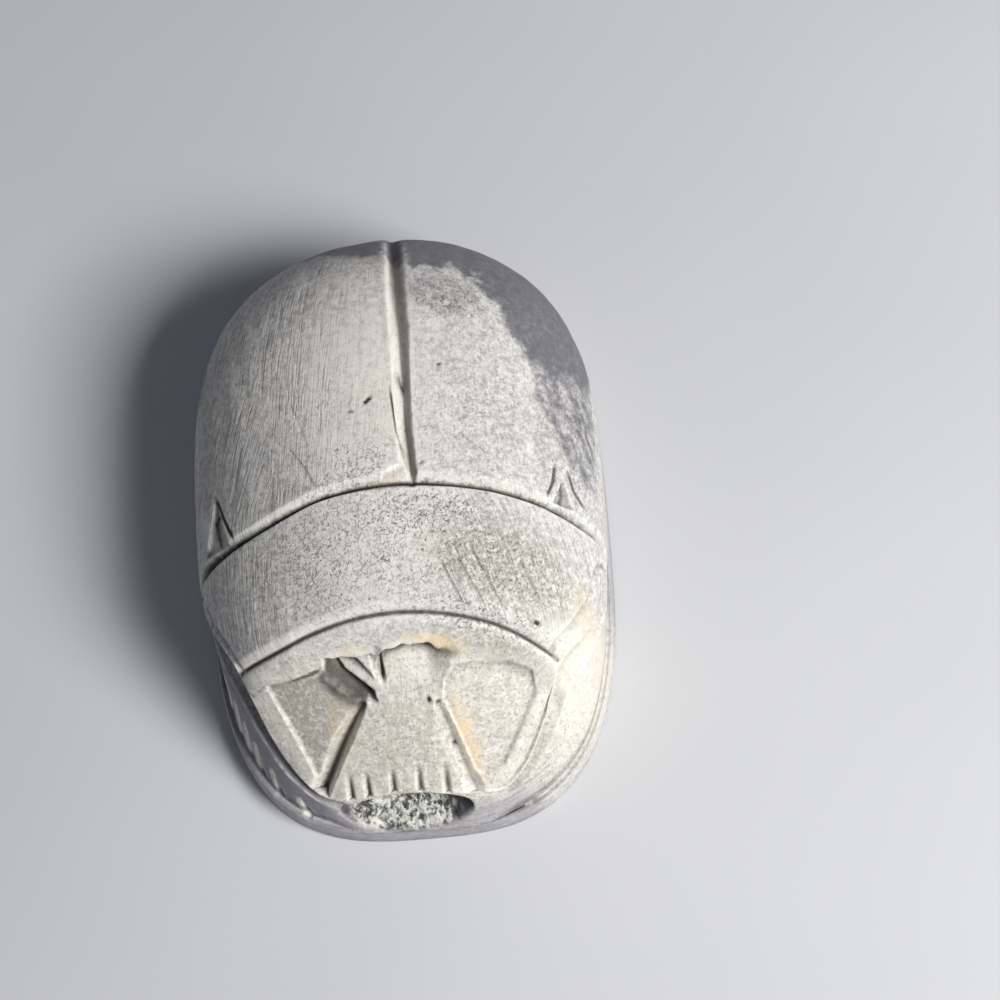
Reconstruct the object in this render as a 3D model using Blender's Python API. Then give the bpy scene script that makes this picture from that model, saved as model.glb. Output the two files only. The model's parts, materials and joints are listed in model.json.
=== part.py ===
"""Scarab amulet: a beetle carved in one piece of stone with its low oval plinth.

The head looks along -Y and the flat underside lies on Z = 0. A sphere's rings are laid
along the underside, the plinth, the legs and the back, and every cut of the carving then
sinks the surface by a depth worked out from the sizes below.
"""

import math

import bmesh
import bpy
import numpy as np

# Overall sizes, in millimetres
MM = 0.001
LENGTH = 60.0
WIDTH = 40.2
HEIGHT = 23.5

# Plinth
PLINTH_HEIGHT = 3.2
PLINTH_SQUARENESS = 3.0
PLINTH_BATTER = 0.35
FOOT_BEVEL = 0.45
LEDGE = 0.95
LEDGE_DIP = 0.3
LEDGE_FADES_AT = 5.0
LEDGE_FULL_AT = 10.0
LEDGE_AT_MOUTH = 0.3

# Back, made of the wing cases and the thorax
BACK_EDGE_HEIGHT = 8.5
SIDE_SET_IN = 0.36
REAR_SET_IN = 2.2
FRONT_SET_IN = 5.7
BACK_ROUNDING_ACROSS = 2.0
BACK_ROUNDING_ALONG = 3.3
BACK_FULLNESS = 2.3

# Head, a slope that falls to the front edge over the mouth
HEAD_TOP_DROP = 2.0
HEAD_TOP_SET_IN = 17.0
MOUTH_HEIGHT = 8.0
MOUTH_SET_IN = 3.5
CHEEK_FALL = 8.6
HEAD_STEP = 0.7
HEAD_BAND = 3.2

# Cuts: the width of each wall of a V cut, and its depth
WING_LINE = {"behind": 1.3, "before": 0.55, "depth": 0.75}
NECK_LINE = {"behind": 1.2, "before": 0.6, "depth": 0.6}
SUTURE_DEPTH = 1.0
SUTURE_REAR_DEPTH = 0.25
SUTURE_RIGHT_WALL = {"rear": 1.25, "front": 0.6}
SUTURE_LEFT_WALL = {"rear": 0.5, "front": 0.95}
SUTURE_DEEPENS_BY = 0.2
SUTURE_OPENS_BY = 0.5
LEFT_RIM_WIDTH = 0.4
RIGHT_RIM_WIDTH = 0.95
RIM_CUT = 0.45
RIM_DEPTH = 0.45
SHOULDER_NOTCH_DEPTH = 0.6
CHIP_DEPTH = 0.45
PLATE_DEPTH = 0.45
PLATE_WALL = 0.45
LEFT_PLATE_TILT = 0.07
LEFT_PLATE_TILT_ENDS = 5.0
LEFT_CHEEK_CUT = {"outer": 1.25, "inner": 0.7, "depth": 1.7}
RIGHT_CHEEK_CUT = {"outer": 0.8, "inner": 1.0, "depth": 0.75}
CHEEK_CUT_START = 0.35
CHEEK_CUT_RUN_IN = 0.08
CHEEK_CUT_LEAST_WALL = 0.2
TOOTH_CUT_WIDTH = 0.42
TOOTH_CUT_DEPTH = 0.75
TOOTH_CUT_LENGTH = 2.3
BROW_HOLLOW_DEPTH = 1.7
BROW_HOLLOW_AT_FOOT = 0.2
BROW_RAMP = 2.6
BROW_CHANNEL = {"outer": 1.3, "inner": 0.7, "depth": 2.0}
BROW_CLEFT = {"width": 0.65, "depth": 1.9}
BROW_STUMP_DROP = 0.45
MOUTH_HOLLOW_DEPTH = 3.0
MOUTH_HOLLOW_LIP = 0.35
MOUTH_HOLLOW_WALL = 0.6

# Legs, in relief on the wall between the plinth and the back
WALL_RECESS = 0.9
LEG_WIDTH = 2.3
WALL_RECESS_FADE = 0.12
LEG_CUT_REAR = 1.1
LEG_CUT_FRONT = 0.5
LEG_CUT_DEPTH = 1.15
FORELEG_SWELL = 0.85
FORELEG_TOP = 0.68
FORELEG_END_LENGTH = 2.0
PLATE_OVERHANG = 0.85
PLATE_OVERHANG_AT = 0.8
PLATE_OVERHANG_SPAN = 0.19
OVERHANG_FADES_AT = 6.5
OVERHANG_FULL_AT = 9.0

# Places on the plan, in millimetres on a plan of 40.2 by 60, which follow the real size
PLAN_WIDTH = 40.2
PLAN_LENGTH = 60.0
HEAD_OUTLINE = [
    (-19.45, -7.0), (-17.8, -10.6), (-15.4, -15.3), (-14.1, -18.8), (-12.1, -23.0),
    (-9.8, -25.8), (-8.0, -26.6), (-1.9, -26.6), (5.4, -27.0), (8.0, -26.7),
    (9.9, -25.1), (11.9, -21.9), (13.3, -18.5), (14.1, -17.0), (16.5, -14.5),
    (18.2, -12.0), (19.3, -8.6),
]
OUTLINE_JOIN = math.radians(6.0)
WING_LINE_PLACE = [
    (-19.5, -6.3), (-16.2, -5.2), (-11.1, -3.6), (-6.0, -2.0), (0.5, -1.45),
    (6.0, -1.8), (10.1, -2.45), (14.5, -3.75), (19.5, -6.0),
]
WING_LINE_SWEEP = 0.2
NECK_LINE_PLACE = [
    (-16.5, -15.6), (-12.0, -14.8), (-8.0, -13.7), (-3.5, -12.8), (0.4, -12.65),
    (4.8, -13.2), (9.1, -14.45), (12.9, -16.3), (15.0, -17.6),
]
SUTURE_PLACE = [(0.9, 28.0), (1.5, 22.0), (2.0, 13.6), (2.05, 4.0), (2.35, -1.4)]
SHOULDER_NOTCHES = [
    [(-16.8, 0.7), (-15.3, -4.4), (-18.2, -4.6)],
    [(15.9, -0.5), (16.8, -3.6), (14.7, -3.2)],
]
CHIP_PLACE = [(-1.6, -1.7), (-0.4, -0.3), (1.6, 0.5), (2.3, -0.2), (2.4, -1.7)]
LEFT_PLATE = [
    (-13.3, -16.9), (-11.6, -20.3), (-10.0, -23.9), (-9.6, -25.2), (-4.6, -19.2),
    (-6.0, -18.4), (-7.8, -16.8),
]
RIGHT_PLATE = [
    (4.5, -16.9), (9.5, -16.9), (11.6, -17.6), (11.8, -19.3), (9.9, -22.4),
    (8.2, -25.0), (6.4, -25.8), (5.3, -25.4), (3.2, -19.6), (3.3, -18.2),
]
LEFT_CHEEK_PLACE = [(-3.8, -19.1), (-6.9, -22.8), (-9.6, -26.4)]
RIGHT_CHEEK_PLACE = [(2.5, -19.5), (3.7, -23.0), (5.2, -26.9)]
TOOTH_CUTS_AT = [-6.55, -4.9, -2.45, 0.05, 2.6]
BROW_HOLLOW = [
    (-7.5, -15.8), (-2.2, -15.9), (1.0, -15.5), (4.6, -15.9), (4.3, -17.6), (2.7, -19.4),
    (-3.4, -19.6), (-5.8, -18.6), (-7.1, -17.2),
]
BROW_RIGHT_END = 4.6
BROW_TOP = -15.8
BROW_FOOT = -19.4
BROW_CHANNEL_PLACE = [(-6.9, -15.9), (-5.9, -17.3), (-3.4, -19.0)]
BROW_STUMP = [(-5.2, -15.7), (-2.9, -15.5), (-2.7, -18.3)]
BROW_CLEFT_PLACE = [(-2.0, -15.2), (-2.3, -16.6), (-2.2, -17.9)]
MOUTH_HOLLOW = {"centre": -1.6, "half_width": 6.4, "foot": 3.0}

# Cuts across the forelegs: places along the plan's edge, from the shoulder to the mouth
LEFT_LEG_CUTS = [(-18.9, -12.9), (-18.5, -15.1), (-18.0, -17.2), (-17.1, -19.6),
                 (-16.3, -21.6), (-15.3, -23.4), (-13.4, -25.2), (-10.6, -27.2)]
RIGHT_LEG_CUTS = [(18.6, -15.0), (18.0, -17.3), (17.1, -19.5), (16.5, -21.3),
                  (15.2, -23.4), (14.0, -24.8), (12.2, -26.5), (10.0, -27.7)]
LEG_CUT_SLANT = 1.8
LEG_CUT_TOP = 0.7
LEG_CUT_FOOT = 0.03

# Middle and hind legs: place along the side (Y) and share of the wall's height
MIDDLE_LEG = [(-4.5, 0.95), (2.0, 0.55), (8.5, 0.12)]
HIND_LEG = [(4.0, 0.95), (11.0, 0.6), (19.0, 0.42), (25.5, 0.15)]
FORELEG_ENDS_AT = -7.5
HIND_CUTS_AT = [13.5, 16.0, 18.5, 21.0]
HIND_CUT = {"foot": 0.1, "top": 0.6, "depth": 0.5}

# Fineness of the carved surface, and the faces kept of it
COLUMNS = 520
PLINTH_ROWS = 8
WALL_ROWS = 52
TOP_ROWS = 150
FRONT_FINENESS = 0.45
UNDERSIDE_RING = 0.45
FACES_KEPT = 8200

SHARP_ANGLE = math.radians(35.0)
STONE = {"name": "pale stone", "colour": (0.60, 0.57, 0.51, 1.0), "roughness": 0.62}


def smooth(share):
    """Ease from 0 to 1 as share goes from 0 to 1."""
    share = np.clip(share, 0.0, 1.0)
    return share * share * (3.0 - 2.0 * share)


def on_plan(points):
    """Places of the plan at the real width and length."""
    return np.array(points) * (WIDTH / PLAN_WIDTH, LENGTH / PLAN_LENGTH)


def curve(points):
    """A smooth line through points given in rising order, as a function of the first value."""
    knots, values = np.array(sorted(map(tuple, points))).T
    gaps = np.diff(knots)
    slopes = np.diff(values) / gaps
    tangents = np.concatenate((slopes[:1], slopes, slopes[-1:]))
    tangents = 0.5 * (tangents[1:] + tangents[:-1])

    def value(at):
        i = np.clip(np.searchsorted(knots, at) - 1, 0, len(gaps) - 1)
        gap = gaps[i]
        t = np.clip((at - knots[i]) / gap, 0.0, 1.0)
        rise = (3.0 - 2.0 * t) * t * t
        start = t * (1.0 - t) ** 2 * gap * tangents[i]
        end = t * t * (t - 1.0) * gap * tangents[i + 1]
        return values[i] * (1.0 - rise) + values[i + 1] * rise + start + end

    return value


def along(points, x, y):
    """Signed distance to a line of straight stretches, positive on its left, and the share along it."""
    points = np.asarray(points, dtype=float)
    steps = np.diff(points, axis=0)
    lengths = np.hypot(*steps.T)
    nearest = np.full(x.shape, np.inf)
    side = np.ones(x.shape)
    share = np.zeros(x.shape)
    walked = 0.0
    for (px, py), (dx, dy), length in zip(points[:-1], steps, lengths):
        t = np.clip(((x - px) * dx + (y - py) * dy) / length**2, 0.0, 1.0)
        distance = np.hypot(x - px - t * dx, y - py - t * dy)
        closer = distance < nearest
        nearest = np.where(closer, distance, nearest)
        turn = dx * (y - py) - dy * (x - px)
        side = np.where(closer, np.where(turn >= 0.0, 1.0, -1.0), side)
        share = np.where(closer, (walked + t * length) / lengths.sum(), share)
        walked += length
    return nearest * side, share


def inside(points, x, y):
    """Distance to the border of an outline, positive inside it."""
    points = np.asarray(points, dtype=float)
    closed = np.vstack((points, points[:1]))
    distance = np.abs(along(closed, x, y)[0])
    within = np.zeros(x.shape, dtype=bool)
    for (ax, ay), (bx, by) in zip(closed[:-1], closed[1:]):
        if ay == by:
            continue
        crosses = (ay > y) != (by > y)
        within ^= crosses & (x < (bx - ax) * (y - ay) / (by - ay) + ax)
    return np.where(within, distance, -distance)


def vee(across, left, right):
    """Depth share of a V cut with a wall of its own width on each side of its bottom."""
    wall = np.where(across >= 0.0, left, right)
    return np.clip(1.0 - np.abs(across) / wall, 0.0, 1.0)


def back_centre():
    """Y of the middle of the back."""
    return 0.5 * (FRONT_SET_IN - REAR_SET_IN)


def back_plan(x, y):
    """0 on the outline of the back, 1 at its middle."""
    half_width = 0.5 * WIDTH - SIDE_SET_IN
    half_length = 0.5 * (LENGTH - FRONT_SET_IN - REAR_SET_IN)
    across = (np.abs(x) / half_width) ** BACK_ROUNDING_ACROSS
    lengthways = (np.abs(y - back_centre()) / half_length) ** BACK_ROUNDING_ALONG
    return 1.0 - across - lengthways


def back_height(x, y):
    """Height of the wing cases and thorax, before carving."""
    rise = np.clip(back_plan(x, y), 0.0, 1.0) ** (1.0 / BACK_FULLNESS)
    return BACK_EDGE_HEIGHT + (HEIGHT - BACK_EDGE_HEIGHT) * rise


def head_height(x, y):
    """Height of the sloping face of the head, before carving."""
    top = -0.5 * LENGTH + HEAD_TOP_SET_IN
    mouth = -0.5 * LENGTH + MOUTH_SET_IN
    slope = (HEIGHT - HEAD_TOP_DROP - MOUTH_HEIGHT) / (top - mouth)
    return MOUTH_HEIGHT + (y - mouth) * slope - CHEEK_FALL * (2.0 * x / WIDTH) ** 2


def top_height(x, y):
    """Height of the whole upper surface: the back, then a step and a band down to the head."""
    behind = y - curve(on_plan(NECK_LINE_PLACE))(x)
    step = HEAD_STEP * (1.0 - smooth(behind / NECK_LINE["behind"]))
    band = smooth(-behind / HEAD_BAND)
    back = back_height(x, y) - step
    return back * (1.0 - band) + head_height(x, y) * band


def oval_reach(angle, half_width, half_length, squareness):
    """Reach of an oval from its middle, along an angle measured from the front (-Y) to +X."""
    across = np.abs(np.sin(angle)) / half_width
    lengthways = np.abs(np.cos(angle)) / half_length
    return (across**squareness + lengthways**squareness) ** (-1.0 / squareness)


def back_reach(angle):
    """Reach of the upper surface's outline from the middle of the back."""
    low = np.zeros(angle.shape)
    high = np.full(angle.shape, LENGTH)
    for _ in range(40):
        middle = 0.5 * (low + high)
        held = back_plan(middle * np.sin(angle), back_centre() - middle * np.cos(angle)) > 0.0
        low = np.where(held, middle, low)
        high = np.where(held, high, middle)
    corners = on_plan(HEAD_OUTLINE) - (0.0, back_centre())
    corner_angles = np.arctan2(corners[:, 0], -corners[:, 1])
    head = curve(np.column_stack((corner_angles, np.hypot(*corners.T))))(angle)
    from_ends = np.minimum(angle - corner_angles.min(), corner_angles.max() - angle)
    share = smooth(from_ends / OUTLINE_JOIN)
    return low * (1.0 - share) + head * share


def ledge(x, y):
    """Width of the ledge on the plinth, which fades out below the mouth."""
    fade = smooth((np.abs(x) - LEDGE_FADES_AT) / (LEDGE_FULL_AT - LEDGE_FADES_AT))
    fade = np.where(y < 0.0, fade, 1.0)
    return LEDGE_AT_MOUTH + (LEDGE - LEDGE_AT_MOUTH) * fade


def plinth_ring(angle, inset):
    """Plan place of a ring of the plinth, set in from its outer edge."""
    reach = oval_reach(angle, 0.5 * WIDTH, 0.5 * LENGTH, PLINTH_SQUARENESS) - inset
    return reach * np.sin(angle), -reach * np.cos(angle)


def ring_angles():
    """Angle of each column, with the columns closer together toward the head."""
    even = np.linspace(-math.pi, math.pi, COLUMNS, endpoint=False)
    return even - FRONT_FINENESS * np.sin(even)


def uncarved_rings():
    """Places of all rings from the underside's middle to the top of the back, before carving."""
    angle = ring_angles()
    rings = [np.zeros((COLUMNS, 3))]
    edge = PLINTH_HEIGHT - PLINTH_BATTER
    steps = [(UNDERSIDE_RING * WIDTH, 0.0), (FOOT_BEVEL, 0.0), (0.0, FOOT_BEVEL)]
    steps += [(PLINTH_BATTER * share, FOOT_BEVEL + (edge - FOOT_BEVEL) * share) for share in (0.4, 0.8, 1.0)]
    for inset, height in steps:
        x, y = plinth_ring(angle, inset)
        rings.append(np.column_stack((x, y, np.full(COLUMNS, height))))
    x, y = plinth_ring(angle, PLINTH_BATTER)
    wide = ledge(x, y)
    for share in (0.4, 1.0):
        inset = PLINTH_BATTER + (wide - LEDGE_AT_MOUTH) * share + (LEDGE_AT_MOUTH - PLINTH_BATTER) * share
        x, y = plinth_ring(angle, inset)
        height = PLINTH_HEIGHT - LEDGE_DIP * share * smooth(wide / LEDGE)
        rings.append(np.column_stack((x, y, height)))
    foot = rings[-1]
    reach = back_reach(angle)
    rim_x = reach * np.sin(angle)
    rim_y = back_centre() - reach * np.cos(angle)
    rim = np.column_stack((rim_x, rim_y, top_height(rim_x, rim_y)))
    for row in range(1, WALL_ROWS + 1):
        rings.append(foot + (rim - foot) * (row / WALL_ROWS))
    for row in range(1, TOP_ROWS + 1):
        share = math.sin(0.5 * math.pi * (1.0 - row / TOP_ROWS))
        x = rim_x * share
        y = back_centre() + (rim_y - back_centre()) * share
        rings.append(np.column_stack((x, y, top_height(x, y))))
    return np.array(rings)


def outward(rings):
    """Direction away from the stone at every place of the rings."""
    across = np.roll(rings, -1, axis=1) - np.roll(rings, 1, axis=1)
    upward = np.gradient(rings, axis=0)
    normal = np.cross(across, upward)
    normal[0] = (0.0, 0.0, -1.0)
    normal[-1] = (0.0, 0.0, 1.0)
    length = np.linalg.norm(normal, axis=2, keepdims=True)
    return normal / np.maximum(length, 1e-9)


def line_cuts(x, y, z):
    """The two lines across the back, the suture between the wing cases and the thorax's rims."""
    sweep = WING_LINE_SWEEP * np.clip(HEIGHT * 0.6 - z, 0.0, None)
    behind = y - curve(on_plan(WING_LINE_PLACE))(x) + sweep
    depth = WING_LINE["depth"] * vee(behind, WING_LINE["behind"], WING_LINE["before"])
    before = y - curve(on_plan(NECK_LINE_PLACE))(x)
    neck = NECK_LINE["depth"] * vee(before, NECK_LINE["before"], NECK_LINE["before"])
    depth = np.maximum(depth, neck)
    depth = np.maximum(depth, np.where(behind > -WING_LINE["before"], suture_cut(x, y), 0.0))
    rim_width = np.where(x < 0.0, LEFT_RIM_WIDTH, RIGHT_RIM_WIDTH)
    rim = np.abs(along(on_plan(HEAD_OUTLINE), x, y)[0]) - rim_width
    in_thorax = (behind < 0.0) & (before > 0.0)
    return np.maximum(depth, np.where(in_thorax, RIM_DEPTH * vee(rim, RIM_CUT, RIM_CUT), 0.0))


def between(sizes, share):
    """A size that goes from its rear value to its front value."""
    return sizes["rear"] + (sizes["front"] - sizes["rear"]) * smooth(share)


def suture_cut(x, y):
    """The cut between the wing cases, whose right wall narrows and left wall widens to the front."""
    off, share = along(on_plan(SUTURE_PLACE), x, y)
    right = between(SUTURE_RIGHT_WALL, share)
    left = between(SUTURE_LEFT_WALL, share / SUTURE_OPENS_BY)
    deepening = smooth(share / SUTURE_DEEPENS_BY)
    depth = SUTURE_REAR_DEPTH + (SUTURE_DEPTH - SUTURE_REAR_DEPTH) * deepening
    return depth * vee(off, right, left)


def wing_marks(x, y):
    """The notches at the shoulders of the wing cases, and the chip at the suture's end."""
    depth = np.zeros(x.shape)
    for notch in SHOULDER_NOTCHES:
        border = inside(on_plan(notch), x, y)
        depth = np.maximum(depth, SHOULDER_NOTCH_DEPTH * smooth(border / PLATE_WALL))
    chip = inside(on_plan(CHIP_PLACE), x, y)
    return np.maximum(depth, CHIP_DEPTH * smooth(chip / PLATE_WALL))


def head_cuts(x, y):
    """Plates, cheek cuts, teeth of the front edge and the hollow at the brow."""
    left = smooth(inside(on_plan(LEFT_PLATE), x, y) / PLATE_WALL)
    right = smooth(inside(on_plan(RIGHT_PLATE), x, y) / PLATE_WALL)
    from_strip = np.abs(along(on_plan(LEFT_PLATE[:4]), x, y)[0])
    tilted = PLATE_DEPTH - LEFT_PLATE_TILT * np.clip(from_strip, 0.0, LEFT_PLATE_TILT_ENDS)
    depth = np.maximum(left * tilted, right * PLATE_DEPTH)
    for place, size in ((LEFT_CHEEK_PLACE, LEFT_CHEEK_CUT), (RIGHT_CHEEK_PLACE, RIGHT_CHEEK_CUT)):
        off, share = along(on_plan(place), x, y)
        off = off if place is RIGHT_CHEEK_PLACE else -off
        opening = smooth(CHEEK_CUT_START + 2.0 * (1.0 - CHEEK_CUT_START) * share)
        opening = opening * smooth(share / CHEEK_CUT_RUN_IN)
        outer = size["outer"] * opening + CHEEK_CUT_LEAST_WALL
        cut = vee(off, outer, size["inner"] * opening + CHEEK_CUT_LEAST_WALL)
        depth = np.maximum(depth, size["depth"] * opening * cut)
    front = -0.5 * LENGTH + MOUTH_SET_IN
    for place in TOOTH_CUTS_AT:
        off = x - place * WIDTH / PLAN_WIDTH
        fade = smooth((front + TOOTH_CUT_LENGTH - y) / TOOTH_CUT_LENGTH)
        depth = np.maximum(depth, TOOTH_CUT_DEPTH * fade * vee(off, TOOTH_CUT_WIDTH, TOOTH_CUT_WIDTH))
    return np.maximum(depth, brow_hollow(x, y))


def brow_hollow(x, y):
    """A hollow that is deep under the brow and runs out on the face, with a stump left in it."""
    border = inside(on_plan(BROW_HOLLOW), x, y)
    top = BROW_TOP * LENGTH / PLAN_LENGTH
    foot = BROW_FOOT * LENGTH / PLAN_LENGTH
    from_foot = np.clip((y - foot) / (top - foot), 0.0, 1.0)
    floor = BROW_HOLLOW_AT_FOOT + (BROW_HOLLOW_DEPTH - BROW_HOLLOW_AT_FOOT) * from_foot
    floor = floor * smooth((BROW_RIGHT_END * WIDTH / PLAN_WIDTH - x) / BROW_RAMP)
    off, _ = along(on_plan(BROW_CHANNEL_PLACE), x, y)
    channel = BROW_CHANNEL["depth"] * vee(off, BROW_CHANNEL["inner"], BROW_CHANNEL["outer"])
    off, _ = along(on_plan(BROW_CLEFT_PLACE), x, y)
    cleft = BROW_CLEFT["depth"] * vee(off, BROW_CLEFT["width"], BROW_CLEFT["width"])
    stump = smooth(inside(on_plan(BROW_STUMP), x, y) / PLATE_WALL)
    cut = np.maximum(floor, np.maximum(channel, cleft))
    depth = cut * (1.0 - stump) + np.minimum(floor, BROW_STUMP_DROP) * stump
    return depth * smooth(border / PLATE_WALL)


def wall_relief(rings):
    """Depth of the carving on the wall: legs in relief, with cuts across them."""
    wall = rings[PLINTH_ROWS : PLINTH_ROWS + WALL_ROWS + 1]
    middle = wall[WALL_ROWS // 2]
    steps = np.linalg.norm(np.diff(middle, axis=0, append=middle[:1]), axis=1)
    place = np.concatenate(([0.0], np.cumsum(steps)[:-1]))
    angle = ring_angles()
    place = place - np.interp(0.0, angle, place)
    tall = np.linalg.norm(wall[-1] - wall[0], axis=1)
    share = np.linspace(0.0, 1.0, WALL_ROWS + 1)[:, None] * np.ones(COLUMNS)
    around = place[None, :] * np.ones((WALL_ROWS + 1, 1))
    up = share * tall
    y = wall[:, :, 1]

    legs = np.zeros(share.shape)
    for leg in (MIDDLE_LEG, HIND_LEG):
        for sign in (-1.0, 1.0):
            turns = [(angle_at(py, sign), rise) for py, rise in leg]
            points = [(np.interp(a, angle, place), rise * np.interp(a, angle, tall)) for a, rise in turns]
            off, _ = along(points, around, up)
            legs = np.maximum(legs, np.sqrt(np.clip(1.0 - (2.0 * off / LEG_WIDTH) ** 2, 0.0, 1.0)))
    foreleg = smooth((FORELEG_ENDS_AT * LENGTH / PLAN_LENGTH - y) / FORELEG_END_LENGTH + 0.5)
    legs = np.maximum(legs, foreleg)
    window = smooth(share / WALL_RECESS_FADE) * smooth((1.0 - share) / WALL_RECESS_FADE)
    depth = WALL_RECESS * (1.0 - legs) * window

    from_middle = np.abs(wall[:, :, 0])
    mouth = smooth((from_middle - LEDGE_FADES_AT) / (LEDGE_FULL_AT - LEDGE_FADES_AT))
    swell = np.sin(math.pi * np.clip(share / FORELEG_TOP, 0.0, 1.0))
    depth = depth - FORELEG_SWELL * foreleg * mouth * swell
    overhang = smooth((from_middle - OVERHANG_FADES_AT) / (OVERHANG_FULL_AT - OVERHANG_FADES_AT))
    under_plate = smooth(1.0 - np.abs(share - PLATE_OVERHANG_AT) / PLATE_OVERHANG_SPAN)
    depth = depth + PLATE_OVERHANG * foreleg * overhang * under_plate

    for places, sign in ((LEFT_LEG_CUTS, -1.0), (RIGHT_LEG_CUTS, 1.0)):
        for px, py in on_plan(places):
            foot = np.interp(math.atan2(px, -py), angle, place)
            height = np.interp(math.atan2(px, -py), angle, tall)
            points = [(foot + sign * LEG_CUT_SLANT, LEG_CUT_TOP * height), (foot, LEG_CUT_FOOT * height)]
            cut = LEG_CUT_DEPTH * leaf(points, around, up, sign, LEG_CUT_FRONT)
            depth = np.maximum(depth, np.minimum(depth, 0.0) + cut)
    for py in HIND_CUTS_AT:
        for sign in (-1.0, 1.0):
            turn = angle_at(py, sign)
            foot = np.interp(turn, angle, place)
            height = np.interp(turn, angle, tall)
            top = (foot + sign * LEG_CUT_SLANT, HIND_CUT["top"] * height)
            points = [(foot, HIND_CUT["foot"] * height), top]
            depth = np.maximum(depth, HIND_CUT["depth"] * leaf(points, around, up, sign, LEG_CUT_REAR))
    return depth


def leaf(points, around, up, sign, steep_wall):
    """Depth share of a leaf-shaped cut: a gentle wall on one side of its line, a steeper one on the other."""
    off, run = along(points, around, up)
    swelling = np.sqrt(np.clip(1.0 - (2.0 * run - 1.0) ** 2, 0.0, 1.0))
    return swelling * vee(off * sign, LEG_CUT_REAR, steep_wall)


def angle_at(place, sign):
    """Column angle of a place along a side, given by Y."""
    y = place * LENGTH / PLAN_LENGTH
    across = (1.0 - abs(2.0 * y / LENGTH) ** PLINTH_SQUARENESS) ** (1.0 / PLINTH_SQUARENESS)
    return sign * math.atan2((0.5 * WIDTH - LEDGE) * across, -y)


def mouth_hollow(rings):
    """How far the wall under the front edge is hollowed back, along +Y."""
    x, y, z = rings[:, :, 0], rings[:, :, 1], rings[:, :, 2]
    centre = MOUTH_HOLLOW["centre"] * WIDTH / PLAN_WIDTH
    half = MOUTH_HOLLOW["half_width"] * WIDTH / PLAN_WIDTH
    roof = MOUTH_HEIGHT - MOUTH_HOLLOW_LIP - CHEEK_FALL * (2.0 * x / WIDTH) ** 2
    foot = MOUTH_HOLLOW["foot"]
    across = np.clip(1.0 - ((x - centre) / half) ** 2, 0.0, 1.0)
    middle = 0.5 * (roof + foot)
    low = middle - (middle - foot) * np.sqrt(across)
    high = middle + (roof - middle) * np.sqrt(across) ** 0.5
    border = np.minimum(z - low, high - z)
    border = np.where((across > 0.0) & (y < 0.0), border, -1.0)
    rows = np.arange(len(rings))[:, None]
    on_wall = (rows > PLINTH_ROWS) & (rows < PLINTH_ROWS + WALL_ROWS)
    return np.where(on_wall, MOUTH_HOLLOW_DEPTH * smooth(border / MOUTH_HOLLOW_WALL) * np.sqrt(across), 0.0)


def softened(depth):
    """The depths with each place eased toward its neighbours on the rings."""
    around = 0.5 * depth + 0.25 * (np.roll(depth, 1, axis=1) + np.roll(depth, -1, axis=1))
    middle = 0.5 * around[1:-1] + 0.25 * (around[:-2] + around[2:])
    return np.vstack((around[:1], middle, around[-1:]))


def carved_rings():
    """Places of all rings with the carving sunk into them."""
    rings = uncarved_rings()
    normal = outward(rings)
    depth = np.zeros(rings.shape[:2])
    wall_top = PLINTH_ROWS + WALL_ROWS
    depth[PLINTH_ROWS : wall_top + 1] = wall_relief(rings)
    top = slice(wall_top, None)
    x, y, z = rings[top, :, 0], rings[top, :, 1], rings[top, :, 2]
    cuts = np.maximum(line_cuts(x, y, z), wing_marks(x, y))
    depth[top] = np.maximum(cuts, head_cuts(x, y))
    depth = softened(depth)
    carved = rings - normal * depth[:, :, None]
    carved[:, :, 1] += mouth_hollow(rings)
    return carved


def stone_material():
    material = bpy.data.materials.new(STONE["name"])
    material.use_nodes = True
    shader = material.node_tree.nodes["Principled BSDF"]
    shader.inputs["Base Color"].default_value = STONE["colour"]
    shader.inputs["Roughness"].default_value = STONE["roughness"]
    shader.inputs["Metallic"].default_value = 0.0
    return material


def sculpted_mesh():
    """A sphere with its rings moved to the carved places."""
    rings = carved_rings()
    rows = len(rings) - 1
    bm = bmesh.new()
    bmesh.ops.create_uvsphere(bm, u_segments=COLUMNS, v_segments=rows, radius=1.0)
    for vert in bm.verts:
        row = round((1.0 - math.acos(max(-1.0, min(1.0, vert.co.z))) / math.pi) * rows)
        turn = math.atan2(vert.co.x, -vert.co.y) / (2.0 * math.pi)
        column = round((turn + 0.5) * COLUMNS) % COLUMNS
        vert.co = rings[row, column] * MM
    bmesh.ops.recalc_face_normals(bm, faces=bm.faces)
    bmesh.ops.triangulate(bm, faces=bm.faces)
    mesh = bpy.data.meshes.new("scarab")
    bm.to_mesh(mesh)
    bm.free()
    return mesh


def scarab(collection):
    """The carved scarab, with the faces that its form doesn't need taken out."""
    body = bpy.data.objects.new("scarab", sculpted_mesh())
    collection.objects.link(body)
    thin = body.modifiers.new("fewer faces", "DECIMATE")
    thin.ratio = FACES_KEPT / len(body.data.polygons)
    kept = body.evaluated_get(bpy.context.evaluated_depsgraph_get())
    mesh = bpy.data.meshes.new_from_object(kept)
    body.modifiers.clear()
    body.data = mesh
    for vert in mesh.vertices:
        if vert.co.z < 0.05 * FOOT_BEVEL * MM:
            vert.co.z = 0.0
    mesh.shade_smooth()
    mesh.set_sharp_from_angle(angle=SHARP_ANGLE)
    mesh.materials.append(stone_material())
    return body


def main():
    for old in list(bpy.data.objects):
        bpy.data.objects.remove(old)
    collection = bpy.data.collections.new("scarab amulet")
    bpy.context.scene.collection.children.link(collection)
    scarab(collection)


main()
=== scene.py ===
"""Looks of the scarab amulet: its finely carved surface, the old pale stone, the light and the camera."""
import json
import math

import bmesh
import bpy
import numpy as np
from mathutils import Matrix, Vector

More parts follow.
